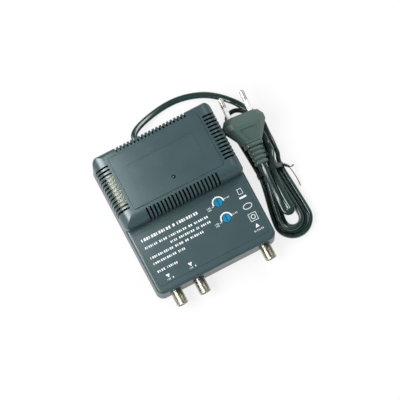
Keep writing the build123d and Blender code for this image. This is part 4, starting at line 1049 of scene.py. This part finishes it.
class AMPLIFIER_OT_marks(bpy.types.Operator):
    """Prints the plain marks on the low part of the housing"""

    bl_idname = "amplifier.marks"
    bl_label = "Printed Marks"

    def execute(self, context):
        colour = tuple(context.scene.amplifier_finish.mark)
        ink = moulded("mark_ink", colour, roughness=0.55, grain=0.2 * MM, depth=0.004 * MM)
        bm = bmesh.new()
        self.row(bm, HEADING_Y, *HEADING_BARS, HEADING_HEIGHT)
        for y, left, lengths in ROWS:
            self.row(bm, y, left, lengths, ROW_HEIGHT)
        for x, y, way, (drop, shift, lengths) in TRIANGLES:
            self.triangle(bm, x, y, way)
            self.row(bm, y - drop, x - shift, lengths, SMALL_HEIGHT)
        for x, y in DIALS:
            self.scale(bm, x, y)
        for y, half_wide, half_tall, segments in OUTLINES:
            self.outline(bm, OUTLINE_X, y, half_wide, half_tall, segments)
        self.bar(bm, *PLAIN_BAR)
        self.finish(bm, ink)
        return {"FINISHED"}

    def bar(self, bm, left, right, low, high):
        """A plain rectangle: a square with sides of 1, scaled to its size."""
        place = Matrix.Translation(((left + right) / 2, (low + high) / 2, 0.0))
        scale = Matrix.Diagonal((right - left, high - low, 1.0, 1.0))
        bmesh.ops.create_grid(bm, x_segments=1, y_segments=1, size=0.5, matrix=place @ scale)

    def row(self, bm, y, left, lengths, height):
        """A row of plain blocks in groups, every third one narrow."""
        x = left
        for length in lengths:
            count = max(1, round(length / (height * BLOCK_SHARE)))
            step = length / count
            for i in range(count):
                start = x + i * step
                wide = step - BLOCK_GAP
                if i % NARROW_EVERY == count % NARROW_EVERY:
                    wide *= NARROW_BLOCK
                self.bar(bm, start, start + wide, y - height / 2, y + height / 2)
            x += length + GROUP_GAP

    def triangle(self, bm, x, y, way):
        """A plain triangle that points up for a way of 1 and down for -1."""
        turn = Matrix.Rotation(0.0 if way > 0 else math.pi, 4, "Z")
        place = Matrix.Translation((x, y, 0.0)) @ turn
        bmesh.ops.create_circle(bm, cap_ends=True, segments=3, radius=TRIANGLE_RADIUS, matrix=place)

    def outline(self, bm, x, y, half_wide, half_tall, segments):
        """A plain round outline, or a square one with 4 segments."""
        square = segments == 4
        turn = Matrix.Rotation(math.pi / 4 if square else 0.0, 4, "Z")
        grow = math.sqrt(2) if square else 1.0
        scale = Matrix.Diagonal((half_wide * grow, half_tall * grow, 1.0, 1.0))
        place = Matrix.Translation((x, y, 0.0)) @ scale @ turn
        face = capped_circle(bm, segments, 1.0, place)
        bmesh.ops.inset_region(bm, faces=face, thickness=OUTLINE_WIDTH, use_boundary=True)
        bmesh.ops.delete(bm, geom=face, context="FACES")

    def scale(self, bm, x, y):
        """The scale round a dial: an arc, a bar at its left end and short rows at both ends."""
        verts = []
        for radius in (SCALE_RADIUS - SCALE_WIDTH / 2, SCALE_RADIUS + SCALE_WIDTH / 2):
            place = (x + radius * math.cos(SCALE_START), y + radius * math.sin(SCALE_START), 0.0)
            verts.append(bm.verts.new(place))
        bmesh.ops.spin(
            bm,
            geom=[*verts, bm.edges.new(verts)],
            cent=(x, y, 0.0),
            axis=(0.0, 0.0, 1.0),
            angle=SCALE_SWEEP,
            steps=SCALE_STEPS,
        )
        left, right, low, high = END_MARK
        self.bar(bm, x + left, x + right, y + low, y + high)
        for start, rise, length in DIAL_ROWS:
            self.row(bm, y + rise, x + start, [length], SMALL_HEIGHT)

    def finish(self, bm, ink):
        """Turns every face up, lays the marks on the panel and gives them their thickness."""
        for face in bm.faces:
            if face.normal.z < 0:
                face.normal_flip()
        place = Matrix.Scale(MM, 4) @ Matrix.Translation((0.0, 0.0, PANEL_Z))
        bmesh.ops.transform(bm, matrix=place, verts=bm.verts)
        grown = bmesh.ops.extrude_face_region(bm, geom=list(bm.faces), use_keep_orig=True)["geom"]
        tops = [g for g in grown if isinstance(g, bmesh.types.BMVert)]
        bmesh.ops.translate(bm, vec=(0.0, 0.0, MARK_THICKNESS * MM), verts=tops)
        mesh_piece("panel_marks", bm, ink, "housing", smooth=False)


class AMPLIFIER_OT_finishes(bpy.types.Operator):
    """Gives the shells and every part inside them their finishes"""

    bl_idname = "amplifier.finishes"
    bl_label = "Finishes"

    def execute(self, context):
        finish = context.scene.amplifier_finish
        self.outside(finish)
        self.inside(finish)
        self.transformer()
        for name, colour, roughness, node in INNER_PLASTICS:
            dress(moulded(name, colour, roughness), node)
        return {"FINISHED"}

    def outside(self, finish):
        """The shells, their feet and screws, and the gland of the cord."""
        shell = moulded("housing_plastic", tuple(finish.housing), roughness=0.34)
        steel = metal("screw_steel", (0.6, 0.6, 0.58), roughness=0.3, axis=2)
        dress(shell, "top_cover", "bottom_tray")
        dress(rubber("foot_rubber", (0.02, 0.02, 0.02)), "feet")
        dress(steel, "housing_screws", "board_screws")
        dress(rubber("gland_rubber", tuple(finish.cord)), "cord_gland")

    def inside(self, finish):
        """The circuit board and what stands on it, apart from plain plastic and the transformer."""
        # Painted shade: the board's own brown laminate is made darker, for the shade inside the
        # closed housing
        laminate = lined(
            "board_laminate",
            (0.07, 0.045, 0.02),
            (0.1, 0.065, 0.03),
            axis=0,
            pitch=0.9 * MM,
            roughness=0.45,
            depth=0.005 * MM,
        )
        shield = metal("shield_steel", (0.66, 0.66, 0.62), roughness=0.35, axis=0, pitch=0.4 * MM)
        blue, grey = tuple(finish.dial), (0.05, 0.05, 0.05)
        dial = moulded("dial_blue", blue, roughness=0.32, grain=0.4 * MM, depth=0.008 * MM)
        tinned = metal("tinned_wire", (0.75, 0.75, 0.72), roughness=0.3, axis=2)
        sink = metal("sink_aluminium", (0.7, 0.71, 0.72), roughness=0.35, axis=2, pitch=0.3 * MM)
        ferrite = moulded("ferrite", grey, roughness=0.7, grain=0.3 * MM, depth=0.03 * MM)
        dress(laminate, "circuit_board")
        dress(shield, "shield_frame", "shield_lid")
        dress(dial, "upper_gain_dial", "lower_gain_dial")
        dress(tinned, "lamp_leads", "transformer_pins", "fuse_clips")
        dress(sink, "regulator_heatsink")
        dress(ferrite, "splitter_ferrites")
        dress(clear("lamp_green", (0.008, 0.05, 0.035)), "power_lamp")
        dress(clear("fuse_glass", (0.7, 0.75, 0.74)), "mains_fuse")

    def transformer(self):
        """The core's laminations, the turns of the winding and the tape round them."""
        core = lined(
            "core_steel",
            (0.1, 0.1, 0.1),
            (0.26, 0.25, 0.23),
            axis=0,
            pitch=1.0 * MM,
            metallic=0.6,
        )
        winding = lined(
            "winding_copper",
            (0.2, 0.06, 0.02),
            (0.55, 0.22, 0.08),
            axis=2,
            pitch=0.4 * MM,
            roughness=0.3,
            metallic=0.8,
        )
        tape = lined(
            "tape_yellow",
            (0.9, 0.85, 0.16),
            (1.0, 0.98, 0.4),
            axis=2,
            pitch=6.0 * MM,
            roughness=0.3,
        )
        dress(core, "transformer_core")
        dress(winding, "transformer_winding")
        dress(tape, "transformer_tape")


class AMPLIFIER_PT_panel(bpy.types.Panel):
    """Lists the settings and the steps that make the dressed part"""

    bl_idname = "AMPLIFIER_PT_panel"
    bl_label = "Aerial Amplifier"
    bl_space_type = "VIEW_3D"
    bl_region_type = "UI"
    bl_category = "Amplifier"

    def draw(self, context):
        for name, owner in SETTINGS.items():
            box = self.layout.box()
            for field in owner.__annotations__:
                box.prop(getattr(context.scene, name), field)
        for operator in OPERATORS:
            self.layout.operator(operator.bl_idname)


SETTINGS = {
    "amplifier_stage": StageSettings,
    "amplifier_finish": FinishSettings,
    "amplifier_cord": CordSettings,
    "amplifier_socket": SocketSettings,
}
OPERATORS = [
    AMPLIFIER_OT_stage,
    AMPLIFIER_OT_plug,
    AMPLIFIER_OT_cord,
    AMPLIFIER_OT_sockets,
    AMPLIFIER_OT_marks,
    AMPLIFIER_OT_finishes,
]


def register():
    for owner in [*SETTINGS.values(), *OPERATORS, AMPLIFIER_PT_panel]:
        bpy.utils.register_class(owner)
    for name, owner in SETTINGS.items():
        setattr(bpy.types.Scene, name, PointerProperty(type=owner))


def unregister():
    for name in SETTINGS:
        delattr(bpy.types.Scene, name)
    for owner in reversed([*SETTINGS.values(), *OPERATORS, AMPLIFIER_PT_panel]):
        bpy.utils.unregister_class(owner)


def main():
    register()
    bpy.ops.amplifier.stage()
    bpy.ops.amplifier.plug()
    bpy.ops.amplifier.cord()
    bpy.ops.amplifier.sockets()
    bpy.ops.amplifier.marks()
    bpy.ops.amplifier.finishes()


if __name__ == "__main__":
    main()
